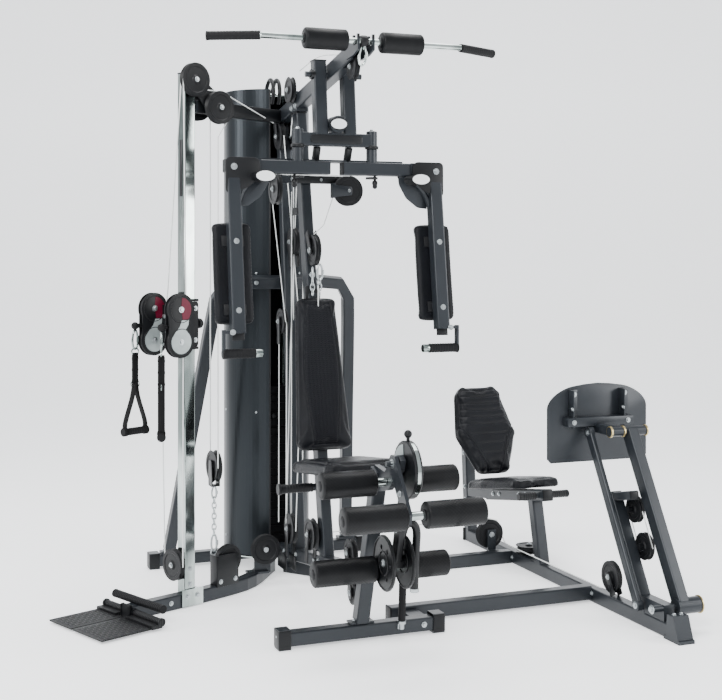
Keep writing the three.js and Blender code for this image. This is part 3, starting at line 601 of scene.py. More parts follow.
def cushion_start(outline, thickness, edge):
    """A closed slab in its own metres, a little smaller than the finished cushion."""
    bm = bmesh.new()
    base = [bm.verts.new((x / 1000, y / 1000, 0)) for x, y in outline]
    face = bm.faces.new(base)
    got = bmesh.ops.extrude_face_region(bm, geom=[face])["geom"]
    top = [g for g in got if isinstance(g, bmesh.types.BMFace)]
    for vert in (g for g in got if isinstance(g, bmesh.types.BMVert)):
        vert.co.z = thickness / 1000
    bmesh.ops.recalc_face_normals(bm, faces=bm.faces)
    rims = [e for f in top + [face] for e in f.edges]
    bmesh.ops.bevel(bm, geom=rims, offset=edge / 1000, segments=4, profile=0.5, affect="EDGES",
                    clamp_overlap=True)
    bmesh.ops.triangulate(bm, faces=bm.faces)
    mesh = bpy.data.meshes.new("cushion")
    bm.to_mesh(mesh)
    bm.free()
    o = bpy.data.objects.new("cushion", mesh)
    scene.collection.objects.link(o)
    return o


def evaluated(o):
    graph = bpy.context.evaluated_depsgraph_get()
    graph.update()
    return bpy.data.meshes.new_from_object(o.evaluated_get(graph))


def points_of(mesh):
    co = np.empty(len(mesh.vertices) * 3)
    mesh.vertices.foreach_get("co", co)
    return co.reshape(-1, 3)


class Cushion:
    """A padded board: an outline in millimetres, a thickness, and a place for its board side."""

    def __init__(self, name, body, outline, thickness, origin, u, v, node_name, cap=9, voxel=6,
                 edge=14, shape=None, panel=None, fill=0.85):
        self.name, self.body, self.node_name, self.cap = name, body, node_name, cap
        self.shape, self.panel, self.fill = shape, panel, fill
        self.origin, self.u, self.v = Vector(origin), unit(u), unit(v)
        self.w = self.u.cross(self.v)
        self.obj = cushion_start(outline, thickness - cap * 0.75, edge)
        remesh = self.obj.modifiers.new("even", "REMESH")
        remesh.mode = "VOXEL"
        remesh.voxel_size = voxel / 1000
        mesh = evaluated(self.obj)
        self.obj.modifiers.clear()
        self.obj.data = mesh
        self.rest = points_of(mesh)

    def arm(self):
        group = self.obj.vertex_groups.new(name="board")
        held = [i for i, p in enumerate(self.rest) if p[2] < 0.006]
        group.add(held, 1.0, "REPLACE")
        cloth = self.obj.modifiers.new("swell", "CLOTH")
        s = cloth.settings
        s.quality = 5
        s.mass = 0.3
        s.tension_stiffness = s.compression_stiffness = 12
        s.shear_stiffness = 8
        s.bending_stiffness = 1.5
        s.use_pressure = True
        s.uniform_pressure_force = 4
        s.effector_weights.gravity = 0
        s.vertex_group_mass = "board"
        cloth.collision_settings.use_collision = False
        cloth.collision_settings.use_self_collision = False
        cloth.point_cache.frame_start = 1
        cloth.point_cache.frame_end = CLOTH_FRAMES

    def finish(self, simulated):
        rest = self.rest
        if simulated:
            moved = points_of(evaluated(self.obj)) - rest
        else:
            low, high = rest.min(0), rest.max(0)
            t = (rest - (low + high) / 2) / ((high - low) / 2)
            moved = np.zeros_like(rest)
            crown = np.clip(1 - t[:, 0] ** 2, 0, 1) ** 0.5 * np.clip(1 - t[:, 1] ** 2, 0, 1) ** 0.5
            moved[:, 2] = crown * self.cap / 1000 * (t[:, 2] > 0)
        self.obj.modifiers.clear()
        size = np.linalg.norm(moved, axis=1, keepdims=True)
        limit = self.cap / 1000
        moved *= np.where(size > 1e-9, limit * np.tanh(size / limit) / np.maximum(size, 1e-9), 0)
        co = rest + moved
        co[:, 2] = np.clip(co[:, 2], 0, None)
        self.obj.data.vertices.foreach_set("co", co.ravel())
        sub = self.obj.modifiers.new("fine", "SUBSURF")
        sub.levels = sub.render_levels = 1
        mesh = evaluated(self.obj)
        self.obj.modifiers.clear()
        co = points_of(mesh)
        x, y, z = co[:, 0] * 1000, co[:, 1] * 1000, co[:, 2] * 1000
        if self.shape:
            z = z + self.shape(x, y, z)
        place = (np.outer(x, self.u) + np.outer(y, self.v) + np.outer(z, self.w) + np.array(self.origin))
        mesh.vertices.foreach_set("co", (place / 1000 + np.array(SHIFT)).ravel())
        mesh.polygons.foreach_set("use_smooth", [True] * len(mesh.polygons))
        mesh.materials.clear()
        mesh.materials.append(VINYL)
        if self.panel:
            mesh.materials.append(PANEL)
            centres = [np.array([np.mean([axis[i] for i in p.vertices]) for p in mesh.polygons])
                       for axis in (x, y, z)]
            mesh.polygons.foreach_set("material_index", self.panel(*centres).astype(np.int32))
        mesh.update()
        o = bpy.data.objects.new(self.name, mesh)
        scene.collection.objects.link(o)
        bpy.data.objects.remove(self.obj)
        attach(o, self.body)
        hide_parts(self.node_name)
        return o


def groove(distance, depth, width):
    return -depth * np.exp(-(distance / width) ** 2)


def slab(width, length, radii):
    w, h = width / 2, length / 2
    return rounded([(-w, -h), (w, -h), (w, h), (-w, h)], radii)


def tilt(angle):
    a = math.radians(angle)
    return (0, math.cos(a), math.sin(a))


def seat_shape(x, y, z):
    """A seam round the top of the seat."""
    top = z > 30
    inner = np.maximum(np.abs(x) - 128, np.abs(y) - 180)
    return np.where(top, groove(inner, 3.2, 4.5), 0)


def back_seam(y):
    """Half the width of the seat back's textured panel at height y."""
    return 58 + 12 * np.cos((y - 300) / 602 * math.pi * 1.7)


def back_shape(x, y, z):
    top = z > 28
    side = np.abs(x) - back_seam(y)
    ends = np.minimum(np.abs(y - 26), np.abs(y - 572))
    line = groove(side, 4.2, 4.5) * ((y > 20) & (y < 580))
    cross = groove(ends, 3.5, 4.5) * (np.abs(x) < back_seam(y))
    return np.where(top, line + cross, 0)


def press_back_half(y):
    return np.interp(y, [0, 190, 400, 436], [82, 160, 120, 88])


def press_back_shape(x, y, z):
    """Seams run in from the corners to a narrow waist, with channels across between them."""
    top = z > 30
    inner = np.interp(y, [0, 40, 90, 150, 200, 235], [34, 44, 62, 88, 118, 150])
    seam = groove(np.abs(x) - inner, 5.5, 5) * (y > 10) * (y < 238)
    second = groove(np.abs(x) - inner + 12, 2.4, 3) * (y > 10) * (y < 232)
    border = groove(press_back_half(y) - 20 - np.abs(x), 4, 5) * (y > 236) * (y < 420)
    channel = np.zeros_like(x)
    for k in range(6):
        level = 232 + 34 * k + 0.0007 * x * x
        channel += groove(y - level, 4.2, 5)
    low = sum(groove(y - (92 + 46 * k), 3.0, 5) for k in range(3)) * (np.abs(x) < inner - 16)
    inside = np.abs(x) < press_back_half(y) - 22
    return np.where(top, seam + second + border + channel * inside + low, 0)


def press_seat_shape(x, y, z):
    top = z > 26
    return np.where(top, groove(np.abs(x) - (92 + 0.06 * y), 3.2, 4.5) * (np.abs(y) < 190), 0)


def forearm_shape(x, y, z):
    """Ribs round the pad's edge, as pleated vinyl."""
    edge = np.clip((np.abs(x) - 52) / 14, 0, 1) * (z > 6) * (z < 40)
    return edge * 1.5 * np.sin(y * 2 * math.pi / 12)


CUSHIONS = [
    Cushion("seat_cushion", "base", slab(312, 412, [42, 42, 26, 26]), 48,
            Vector((0, 163.8, 601.5)) - Vector((0, 0.1184, 0.993)) * 24, RIGHT, tilt(-6.8), "main_seat",
            shape=seat_shape),
    Cushion("backrest_cushion", "base",
            rounded([(-115, 3), (115, 3), (83, 598), (-83, 598)], [34, 34, 30, 30]), 50,
            Vector((0, 410, 622)) + Vector((0, 0.981, -0.196)) * 25, RIGHT, tilt(78.69), "seat_back",
            shape=back_shape,
            panel=lambda x, y, z: (np.abs(x) < back_seam(y)) & (y > 26) & (y < 572) & (z > 28)),
    Cushion("press_seat_cushion", "base",
            rounded([(-112, -214), (-30, -214), (0, -188), (30, -214), (112, -214), (146, 60), (146, 214),
                     (-146, 214), (-146, 60)], [34, 14, 20, 14, 34, 60, 36, 36, 60]), 44,
            Vector((PRESS_X, 845, 356)) - Vector((0, 0.164, 0.9865)) * 22, RIGHT, tilt(-9.44), "press_seat",
            shape=press_seat_shape),
    Cushion("press_back_cushion", "base",
            rounded([(-79, 3), (79, 3), (156, 190), (117, 398), (86, 433), (-86, 433), (-117, 398),
                     (-156, 190)], [26, 26, 46, 30, 30, 30, 30, 46]), 56,
            (PRESS_X, 1064, 354), RIGHT, tilt(62), "press_back_pad", shape=press_back_shape, cap=11),
] + [
    Cushion(f"{side}_forearm_cushion", f"{side}_arm", slab(146, 372, 20), 46,
            Vector((sign * ARM_X, 295, 1310)) - Vector((0, 0.99, -0.142)) * 23, LEFT,
            (0, 0.142, 0.99), f"{side}_forearm_pad", shape=forearm_shape, cap=7)
    for side, sign in (("left", -1), ("right", 1))
]
for pad in CUSHIONS:
    pad.arm()
for frame_number in range(1, CLOTH_FRAMES + 1):
    scene.frame_set(frame_number)
for pad in CUSHIONS:
    pad.finish(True)
scene.frame_set(1)


# ------------------------------------------------------------------ foam sleeves
def foam_sleeve(name, body, node_name, centre, axis, radius, half, bore=13.2, pitch=13.0):
    """A foam roller with its knurled skin cut as diamonds, and plain ends."""
    a, b, c = frame_about(axis)
    centre = Vector(centre)
    cells = round(2 * math.pi * radius / pitch)
    sides = cells * 4
    step = 2 * math.pi * radius / sides
    plain = 7.0
    rows = max(8, round((2 * half - 2 * plain) / step))
    rings = []

    def ring(h, r):
        rings.append([centre + c * h + (a * math.cos(t) + b * math.sin(t)) * r
                      for t in around(sides)])

    ring(-half, bore)
    ring(-half, radius - 8)
    ring(-half + 2.5, radius - 3)
    ring(-half + 5.5, radius - 0.6)
    for i in range(rows + 1):
        h = -half + plain + (2 * half - 2 * plain) * i / rows
        length = h / pitch
        points = []
        for k in range(sides):
            turn = k * cells / sides
            one = abs(math.sin(math.pi * (length + turn)))
            two = abs(math.sin(math.pi * (length - turn)))
            dip = max(1 - one * 1.7, 1 - two * 1.7, 0)
            t = 2 * math.pi * k / sides
            points.append(centre + c * h + (a * math.cos(t) + b * math.sin(t)) * (radius - 2.4 * dip))
        rings.append(points)
    ring(half - 5.5, radius - 0.6)
    ring(half - 2.5, radius - 3)
    ring(half, radius - 8)
    ring(half, bore)
    p = Piece(name, body, FOAM)
    p.faces(rings, caps=False)
    p.faces([rings[-1], rings[0]], caps=False)
    o = p.done(node_name, sharp=50)
    return o


ROLLERS = {
    "ankle": ("leg_developer", (-165, 300), (-248, -22), (66, 248)),
    "thigh": ("base", (-238, 611), (-248, -52), (52, 248)),
    "shin": ("shin_hold_down", (-455, 536), (-248, -32), (36, 248)),
}
for where, (body, (ry, rz), *spans) in ROLLERS.items():
    for side, (x0, x1) in zip(("left", "right"), spans):
        foam_sleeve(f"{where}_foam_{side}", body, f"{where}_roller_{side}", ((x0 + x1) / 2, ry, rz), RIGHT,
                    45, (x1 - x0) / 2)
    caps = Piece(f"{where}_roller_caps", body, PLASTIC)
    for sign in (-1, 1):
        caps.lathe([(12.6, -6), (19, 0), (19, 1.5), (16, 4), (9, 5.4), (0, 5.6)], (sign * 247.5, ry, rz),
                   (sign, 0, 0), 28)
    for side, (x0, x1) in zip((1, -1), spans):
        inner = x1 if side == 1 else x0
        caps.lathe([(12.7, 0), (20, 0), (20, 2.5), (17, 4), (12.7, 4)], (inner, ry, rz), (side, 0, 0), 28)
    caps.done()
for sign, side in ((-1, "left"), (1, "right")):
    foam_sleeve(f"lat_sleeve_{side}", "lat_pull_bar", f"lat_foam_{side}", (sign * 145, 0, LAT_BAR_Z), RIGHT,
                38, 80, bore=11.6, pitch=9.5)


# ------------------------------------------------------------------ pulleys
def pulley_wheel(p, centre, axis, radius=62, width=22):
    """A moulded wheel: a deep groove, a shallow dished face and a hub."""
    h, web = width / 2, width * 0.40
    p.lathe([(0, -h - 2), (14, -h - 2), (17, -h), (19, -web), (radius - 17, -web), (radius - 14, -h),
             (radius - 1.2, -h), (radius, -h + 1.2), (radius - 7.5, -2), (radius - 7.5, 2),
             (radius, h - 1.2), (radius - 1.2, h), (radius - 14, h), (radius - 17, web), (19, web),
             (17, h), (14, h + 2), (0, h + 2)], centre, axis, 44)


def wheel_bolts(p, centre, axis, reach, radius=7):
    """A bolt and a nut on the two ends of a pulley's axle."""
    for sign in (-1, 1):
        p.hex_bolt(Vector(centre) + unit(axis) * reach * sign, Vector(axis) * sign, radius)


turning = {
    "cross_pulley_left": ((-150, 577, 1640), RIGHT, 62),
    "cross_pulley_right": ((168, 612, 1640), REAR, 62),
    "base_pulley_outer": (col(205, 0, 146), ACROSS, 62),
    "base_pulley_inner": ((-104, 872, 148), REAR, 62),
    "column_top_pulley": (col(10, -44, 2066), ACROSS, 66),
    "column_low_pulley": (col(-38.5, 30, 162), ALONG, 62),
    "press_turn_pulley": ((958, 905, 122), REAR, 64),
}
for name, (centre, axis, radius) in turning.items():
    p = Piece(f"{name}_moulding", f"{name}_wheel", PLASTIC, "iron")
    pulley_wheel(p, centre, axis, radius)
    p.done(name)
    p = Piece(f"{name}_axle_bolts", f"{name}_wheel", STEEL)
    wheel_bolts(p, centre, axis, 13)
    p.done()

# Pulleys that the CAD model leaves out: they sit still on the tower.
idle = Piece("tower_pulleys", "base", PLASTIC)
idle_bolts = Piece("tower_pulley_bolts", "base", STEEL)
idle_plates = Piece("tower_pulley_brackets", "base", PAINT_DARK)


def idler(centre, axis, radius, width=22, arm=None, plates=True):
    """A pulley between two plates that reach from its axle to the point arm."""
    pulley_wheel(idle, centre, axis, radius, width)
    gap = width / 2 + 4
    wheel_bolts(idle_bolts, centre, axis, gap + (4 if plates else 0), 7)
    if not (plates and arm):
        return
    way = Vector(arm) - Vector(centre)
    length, way = way.length, way.normalized()
    side = unit(axis).cross(way)
    shape = rounded([(-22, -17), (length, -17), (length, 17), (-22, 17)], [16, 4, 4, 16])
    for sign in (-1, 1):
        start = Vector(centre) + unit(axis) * (sign * gap - (4 if sign < 0 else 0))
        idle_plates.plate(shape, start, way, way.cross(unit(axis)) * -1, 4)


NOSE_PULLEY, REAR_PULLEY = (0, 104, 2066), (-38, 738, 2056)
idler(NOSE_PULLEY, RIGHT, 48, 20, plates=False)
idler(REAR_PULLEY, RIGHT, 54, 20, plates=False)
idler((0, 812, 1434), RIGHT, 60, arm=(0, 800, 1330))
idler((0, 548, 1399), RIGHT, 62, arm=(0, 590, 1470))
idler((-52, 800, 1104), RIGHT, 54, arm=(-52, 800, 1010))
idler((-42, 714, 262), RIGHT, 62, arm=(-42, 730, 150))
idler((-42, 454, 292), RIGHT, 62, arm=(-42, 470, 180))
idler((0, 100, 150), RIGHT, 44, 18, arm=(0, 112, 216))
idler((0, 128, 290), RIGHT, 50, 20, arm=(0, 120, 222))
idler(col(130, -44, 1966), ACROSS, 66, plates=False)
idler(col(74, 26, 1976), ACROSS, 62, plates=False)
idler((-30, 905, 1880), RIGHT, 56, arm=(-30, 930, 1960))
idler((34, 905, 1880), RIGHT, 56, arm=(34, 930, 1960))
idler((1100, -50, 403), RIGHT, 52, 20, plates=False)
idler((1096, -122, 276), RIGHT, 52, 20, plates=False)
idler((PRESS_X, 44, 124), RIGHT, 62, 20, arm=(PRESS_X, 10, 60))
idler((1082, 760, 82), UP, 60, 20, plates=False)

# The plates that carry the column's top pulleys.
idle_plates.plate(rounded([(-34, 2030), (-34, 2092), (34, 2092), (172, 1990), (156, 1926), (104, 1920),
                           (24, 2010)], [14, 24, 30, 26, 22, 26, 20]), col(0, -30, 0), ALONG, UP, 4)
idle_plates.plate(rounded([(20, 1940), (20, 2010), (100, 2006), (112, 1976), (98, 1946)], 16),
                  col(0, 44, 0), ALONG, UP, 4)
# Two brackets on the mast for the lifting cable.
idle_plates.block((0, 700, 1700), (26, 90, 60), 3, across=RIGHT)
idle_plates.block((0, 790, 1560), (20, 120, 30), 3)
idle.done()
idle_bolts.done()
idle_plates.done()


# ------------------------------------------------------------------ cables
def strand(p, *points, radius=2.2, bend=None):
    path = smooth_path(points, bend) if bend else points
    p.tube(path, radius, 10)


lines = Piece("tower_cables", "base", CABLE)
for x, y, low, high in ((-26, 762, 262, 1640), (22, 758, 262, 1434), (-8, 876, 300, 1434),
                        (0, 500, 292, 1340),
                        (-52, 748, 262, 1104), (-52, 852, 262, 1104), (6, 834, 470, 1880)):
    strand(lines, (x, y, low), (x + 4, y + 6, high))
strand(lines, (34, 850, 1880), (-26, 772, 1000), (-42, 776, 262))
strand(lines, (-30, 850, 1880), (24, 778, 1000), (-42, 652, 262))
strand(lines, (0, 728, 2136), (0, 480, 2158), (0, 158, 2118), bend=6)
strand(lines, (0, 788, 2084), (0, 850, 1880), radius=2.4)
strand(lines, (112, 610, 1640), (60, 600, 1500), (4, 560, 1461), radius=2.0)
strand(lines, (-150, 639, 1640), (-54, 748, 1104), radius=2.0)
strand(lines, (1098, -102, 403), (1098, -172, 276), radius=2.0)
strand(lines, (1098, -2, 403), (1098, -72, 276), radius=2.0)
strand(lines, (168, 590, 1700), (-150, 600, 1700), radius=2.4)
strand(lines, col(65, -44, 2030), col(110, -44, 2030), radius=2.4)
strand(lines, col(180, -44, 1930), (-351, 704, 1850), (-351, 704, 527), radius=2.6)
strand(lines, col(136, 26, 1976), (-351, 828, 1800), (-351, 828, 527), radius=2.6)
strand(lines, col(170, -44, 2018), (-60, 900, 1936), radius=2.4)
strand(lines, col(-38.5, -30, 162), col(-40, -34, 1000), radius=2.4)
strand(lines, col(-38.5, 90, 180), col(-56, 88, 990), radius=2.4)
strand(lines, col(-46, -44, 2066), col(-46, -60, 1240), col(-40, -34, 1000), radius=2.6)
strand(lines, col(-46, -30, 2066), col(-46, 60, 1240), col(-56, 88, 990), radius=2.6)
lines.done()

# The floating pulley that hangs on the column's cables, and its chain.
p = Piece("floating_pulley", "base", PLASTIC)
pulley_wheel(p, FLOATER, (0.99, 0.12, 0), 64, 24)
p.done()
p = Piece("floating_pulley_fork", "base", PAINT_DARK)
for sign in (-1, 1):
    p.plate(rounded([(-30, -80), (30, -80), (30, -40), (20, 24), (-20, 24), (-30, -40)],
                    [10, 10, 8, 14, 14, 8]),
            (-351 + sign * 15 - 2, 766, 527), REAR, UP, 4)
p.block((-351, 766, 450), (36, 40, 5), 1)
p.done()


def chain(p, start, end, pitch=22, wire=2.6):
    """Oval links, each turned a quarter from its neighbour."""
    a, b = Vector(start), Vector(end)
    count = max(2, round((b - a).length / pitch))
    way = (b - a).normalized()
    one = frame_about(way, RIGHT)[0]
    two = way.cross(one)
    for k in range(count):
        side = one if k % 2 else two
        middle = a + (b - a) * (k + 0.5) / count
        long, wide = pitch * 0.66, 8.5
        ring = [middle + way * (long * math.sin(t)) + side * (wide * math.cos(t))
                for t in around(16, 1)]
        p.tube(ring, wire, 8, caps=False)


def carabiner(p, top, length=62, width=26, wire=4.2, across=RIGHT, way=DOWN):
    """A snap hook: a long loop of round bar with a gate, hanging from its top."""
    way, side = unit(way), unit(across)
    path = []
    for k in range(29):
        t = 2 * math.pi * k / 28
        narrow = 0.72 + 0.28 * (1 - math.cos(t)) / 2
        path.append(Vector(top) + way * (length / 2 - length / 2 * math.cos(t)) +
                    side * (width / 2 * narrow * math.sin(t)))
    p.tube(path, wire, 12, caps=False)
    p.lathe([(0, 0), (wire + 1.6, 0), (wire + 1.8, length * 0.28), (0, length * 0.28)],
            Vector(top) + way * length * 0.36 + side * width * 0.46, way, 16)


p = Piece("floating_pulley_chain", "base", STEEL)
carabiner(p, (-351, 766, 446), 50, 22, 3.6)
chain(p, (-351, 766, 400), (-352, 764, 250))
carabiner(p, (-352, 764, 252), 66, 26, 4.2)
p.tube([(-352 + 12 * math.cos(t), 764, 180 + 12 * math.sin(t)) for t in np.linspace(0, math.pi * 2, 17)],
       3.6, 8,
       caps=False)
p.done()

# Snap hooks and chain over the seat back.
p = Piece("backrest_chain", "base", STEEL)
carabiner(p, (8, 500, 1342), 60, 26, 4.2)
chain(p, (8, 500, 1290), (10, 512, 1214))
carabiner(p, (-18, 512, 1330), 54, 22, 3.8, across=(0.4, 0.9, 0))
chain(p, (-18, 514, 1282), (-16, 516, 1222))
p.done()


# ------------------------------------------------------------------ press arms and hanger
hanger_bolts = Piece("hanger_bolts", "press_unit", STEEL)
hanger_black = Piece("hanger_trim", "press_unit", PAINT_DARK)
for x in (-57, 57):
    hanger_bolts.hex_bolt((x - 25, 320, 2074), LEFT, 6)
    hanger_bolts.hex_bolt((x + 25, 320, 2074), RIGHT, 6)
    hanger_bolts.hex_bolt((x, 296, 1924), (0, -1, 0.14), 4.5, 3, washer=False)
    hanger_black.block((x, 331, 2116), (52, 48, 6), 2)
    hanger_black.lathe([(15, -8), (19, -8), (19, 8), (15, 8)], (math.copysign(84, x), 320, 2062), RIGHT, 28)
for x in (-PIVOT_X, PIVOT_X):
    hanger_bolts.hex_bolt((x, PIVOT_Y, 1852), UP, 7, 6)
    hanger_black.lathe([(21.2, 0), (22.6, 0.6), (22.6, 3), (21.2, 3.6)], (x, PIVOT_Y, 1788), UP, 32)
    hanger_black.lathe([(8.4, 0), (15, 1), (15, 50), (8.4, 52)], (math.copysign(64, x), 343, 1742),
                       (0, -0.4, 0.92), 24)
# The nameplate across the hanger, left blank.
hanger_black.plate(rounded([(-104, -16), (104, -16), (104, 16), (-104, 16)], 13), (0, 282, 1816), RIGHT,
                   UP, 3.5, bevel=1.4)
hanger_bolts.done()
hanger_black.done()


def oval(p, centre, u, v, width, height, rise, face):
    """A shallow domed oval badge."""
    centre, u, v = Vector(centre), unit(u), unit(v)
    rings = []
    for scale, out in ((1.0, 0), (1.0, rise * 0.5), (0.93, rise * 0.85), (0.7, rise), (0.35, rise * 1.08)):
        rings.append([centre + unit(face) * out + u * (width / 2 * scale * math.cos(t)) +
                      v * (height / 2 * scale * math.sin(t)) for t in around(40)])
    rings.append([centre + unit(face) * rise * 1.1])
    p.faces(rings)


badge = Piece("hanger_badge", "press_unit", BADGE)
oval(badge, (0, 256.5, 1872), RIGHT, UP, 62, 38, 3, FRONT)
badge.done()
rim = Piece("hanger_badge_rim", "press_unit", PLASTIC)
oval(rim, (0, 257.6, 1872), RIGHT, UP, 72, 48, 2, FRONT)
rim.done()

for side, sign in (("left", -1), ("right", 1)):
    body = f"{side}_arm"
    cover = Piece(f"{side}_arm_cover", body, PLASTIC)
    outline = rounded([(435, 1738), (306, 1738), (304, 1668), (352, 1626), (435, 1600)],
                      [20, 26, 30, 30, 18])
    if sign < 0:
        outline = [(-x, z) for x, z in outline][::-1]
    cover.plate(outline, (0, 269, 0), RIGHT, UP, 4.5, bevel=1.6)
    gusset = rounded([(258, 1683), (262, 1650), (292, 1598), (340, 1562), (379, 1558), (379, 1683)],
                     [3, 36, 40, 36, 3, 3])
    if sign < 0:
        gusset = [(-x, z) for x, z in gusset][::-1]
    cover.lathe([(0, 0), (24, 0), (26, 3), (26, 10), (23, 13), (0, 13)], (sign * PIVOT_X, PIVOT_Y, 1783.5),
                UP, 32)
    cover.lathe([(0, 0), (22, 0), (23.5, 2), (23.5, 8), (0, 8)], (sign * PIVOT_X, PIVOT_Y, 1677), DOWN, 32)
    # End caps of the square tubes.
    cover.block((sign * 430, 300, 1707), (6, 46, 46), 2)
    cover.block((sign * 28, 300, 1707), (6, 46, 46), 2)
    cover.block((sign * ARM_X, 211, 1094), (46, 6, 46), 2, along=(0, 0.142, 0.99))
    # Clamp plates between the pad and the tube.
    for z, y in ((1180, 252), (1430, 288)):
        cover.block((sign * ARM_X, y, z), (84, 10, 40), 2, along=(0, 0.142, 0.99))
    cover.done()
    badge = Piece(f"{side}_arm_badge", body, BADGE)
    oval(badge, (sign * 307, 189, 1666), RIGHT, UP, 70, 37, 3.4, FRONT)
    badge.done()
    post = Piece(f"{side}_arm_badge_post", body, PLASTIC)
    shapes = [(78, 1.0), (74, 0.9), (40, 0.62), (4, 0.7), (2, 1.0), (0, 1.02), (-1.2, 1.0)]
    post.faces([[Vector((sign * 307 + 38 * k * math.cos(t), 190 + out, 1666 + 21 * k * math.sin(t)))
                 for t in around(40)] for out, k in shapes])
    post.done()
    bolts = Piece(f"{side}_arm_bolts", body, STEEL)
    bolts.hex_bolt((sign * ARM_X, 264.6, 1703), FRONT, 8)
    for z, y in ((1180, 199), (1430, 232)):
        bolts.hex_bolt((sign * ARM_X, y, z), (0, -0.99, 0.14), 7)
    bolts.hex_bolt((sign * 430, 186, 1102), FRONT, 7)
    bolts.hex_bolt((sign * PIVOT_X, PIVOT_Y, 1796.5), UP, 9, 6)
    bolts.done()
    web = Piece(f"{side}_arm_gusset", body, PAINT)
    web.plate(gusset, (0, 303, 0), RIGHT, UP, 5)
    web.done()
    grip = Piece(f"{side}_press_grip", body, RUBBER)
    profile = [(15.2, 0), (17.5, 1.5), (17.8, 5)] + ribbed(9, 9, 17.6, 16.6)
    profile += [(17.8, 116), (19.5, 118), (19.5, 122), (15, 124), (0, 124)]
    grip.lathe(profile, (sign * 342, 199, 1024), (sign, 0, 0), 32)
    grip.done()
    steel = Piece(f"{side}_press_grip_end", body, CHROME)
    steel.lathe([(0, -2), (14, -2), (15.6, 0), (15.6, 22), (15.2, 23)], (sign * 319, 199, 1024),
                (sign, 0, 0), 32)
    steel.done()
    pin = Piece(f"{side}_arm_pull_knob", f"{side}_arm_pull_pin", PLASTIC)
    pin.lathe([(0, 0), (5, 0), (5, 17), (8, 18), (10.5, 22), (11, 30), (9, 33), (9.5, 40), (8, 46), (4, 49),
               (0, 50)], (sign * 162, 300, 1681.6), DOWN, 28)
    pin.done(f"{side}_arm_pin")

# ------------------------------------------------------------------ lat bar
p = Piece("lat_bar_grips", "lat_pull_bar", RUBBER)
sweep = math.radians(25)
for sign in (-1, 1):
    way = Vector((sign * math.cos(sweep), math.sin(sweep), 0))
    start = Vector((sign * 376, 0, LAT_BAR_Z)) + way * 6
    profile = [(11.2, 0), (15, 1.5), (15.6, 4)] + ribbed(8, 16, 15.8, 15.2, flat=2)
    profile += [(15.8, 184), (16.6, 186), (16.2, 190), (0, 191)]
    p.lathe(profile, start, way, 32)
p.done()
p = Piece("lat_bar_collars", "lat_pull_bar", PLASTIC)
for x in (-226, -64, 64, 226):
    p.lathe([(11.3, -4), (17, -4), (18.5, -2), (18.5, 2), (17, 4), (11.3, 4)], (x, 0, LAT_BAR_Z), RIGHT, 28)
p.lathe([(11.3, -14), (20, -13), (22, -8), (22, 8), (20, 13), (11.3, 14)], (0, 0, LAT_BAR_Z), RIGHT, 32)
p.done()
p = Piece("lat_bar_snap_hook", "lat_pull_bar", CHROME)
carabiner(p, (0, 0, 2130), 74, 30, 4.6, way=(0, 0.25, -0.97), across=RIGHT)
p.done()
p = Piece("lat_bar_rest_sleeves", "base", RUBBER)
for x in (-28.5, 28.5):
    p.tube(smooth_path([(x, -27, 2160), (x, -18, 2135), (x, 0, 2124), (x, 18, 2135), (x, 24, 2160)], 5),
           3.4, 10)
p.done()

# ------------------------------------------------------------------ tower trim
p = Piece("tower_bolts", "base", STEEL)
for z, y in ((1390, 590), (1300, 572), (1120, 537), (760, 466)):
    p.hex_bolt((0, y - 2, z), (0, -0.981, 0.193), 8)
for y, z in ((712, 1990), (764, 1984)):
    p.hex_bolt((25, y, z), RIGHT, 8)
    p.hex_bolt((-25, y, z), LEFT, 8)
for y, z in ((960, 1966), (930, 1966)):
    p.hex_bolt((26, y, z), RIGHT, 7)
for x in (-180, -60, 60, 150):
    p.hex_bolt((x, 635, 1684), FRONT, 6.5)
side_bolts(p, 25, ((420, 195), (470, 188), (700, 158), (860, 137)))
for x in (-22, 22):
    p.hex_bolt((x, 32, 69.5), UP, 7)
    for sign in (-1, 1):
        p.hex_bolt((sign * 415 + x, 1310, 74), UP, 7)
side_bolts(p, 24, ((-70, 573), (-96, 588)))
for sign in (-1, 1):
    p.hex_bolt((sign * 132, 910, 1262), (0, -0.95, -0.3), 6.5)
    p.dome_bolt((sign * 316, 25, 44), (sign, 0, 0), 5, 3)
p.hex_bolt((-104, 884, 160), FRONT, 7)
p.done()

p = Piece("tower_caps", "base", PLASTIC)
p.block((0, 988, 1960), (46, 6, 58), 2, along=(0, -0.17, 0.985))
p.block((0, 737, 1962), (46, 70, 6), 2)
p.block((0, 957, 1927), (46, 46, 5), 2)
for sign in (-1, 1):
    p.lathe([(0, 0), (20, 0), (21, 1), (21, 12), (0, 12)], (sign * 215, 300, 505), (sign, 0, 0), 28)
    profile = [(14.2, 0), (17, 1.5)] + ribbed(6, 10, 17.2, 16.2)
    profile += [(17.2, 122), (14.2, 124)]
    p.lathe(profile, (sign * 90, 300, 505), (sign, 0, 0), 28)
# Hoses over the shroud's top edge.
for x in (-34, -6):
    p.tube(smooth_path([(x, 1006, 2030), (x, 985, 2075), (x, 1000, 2120), (x, 1040, 2136),
                        (x, 1084, 2108), (x, 1096, 2060)], 6), 8.5, 14)
p.done()

# Moulded caps over the ends of the stabilisers and the arms.
p = Piece("foot_end_caps", "base", PLASTIC)


def end_cap(p, centre, along, width, height, depth):
    """A moulded cap over the end of a rectangular tube."""
    p.block(centre, (width, depth, height), 4, along=UP, across=(-along[1], along[0], 0), segments=3)


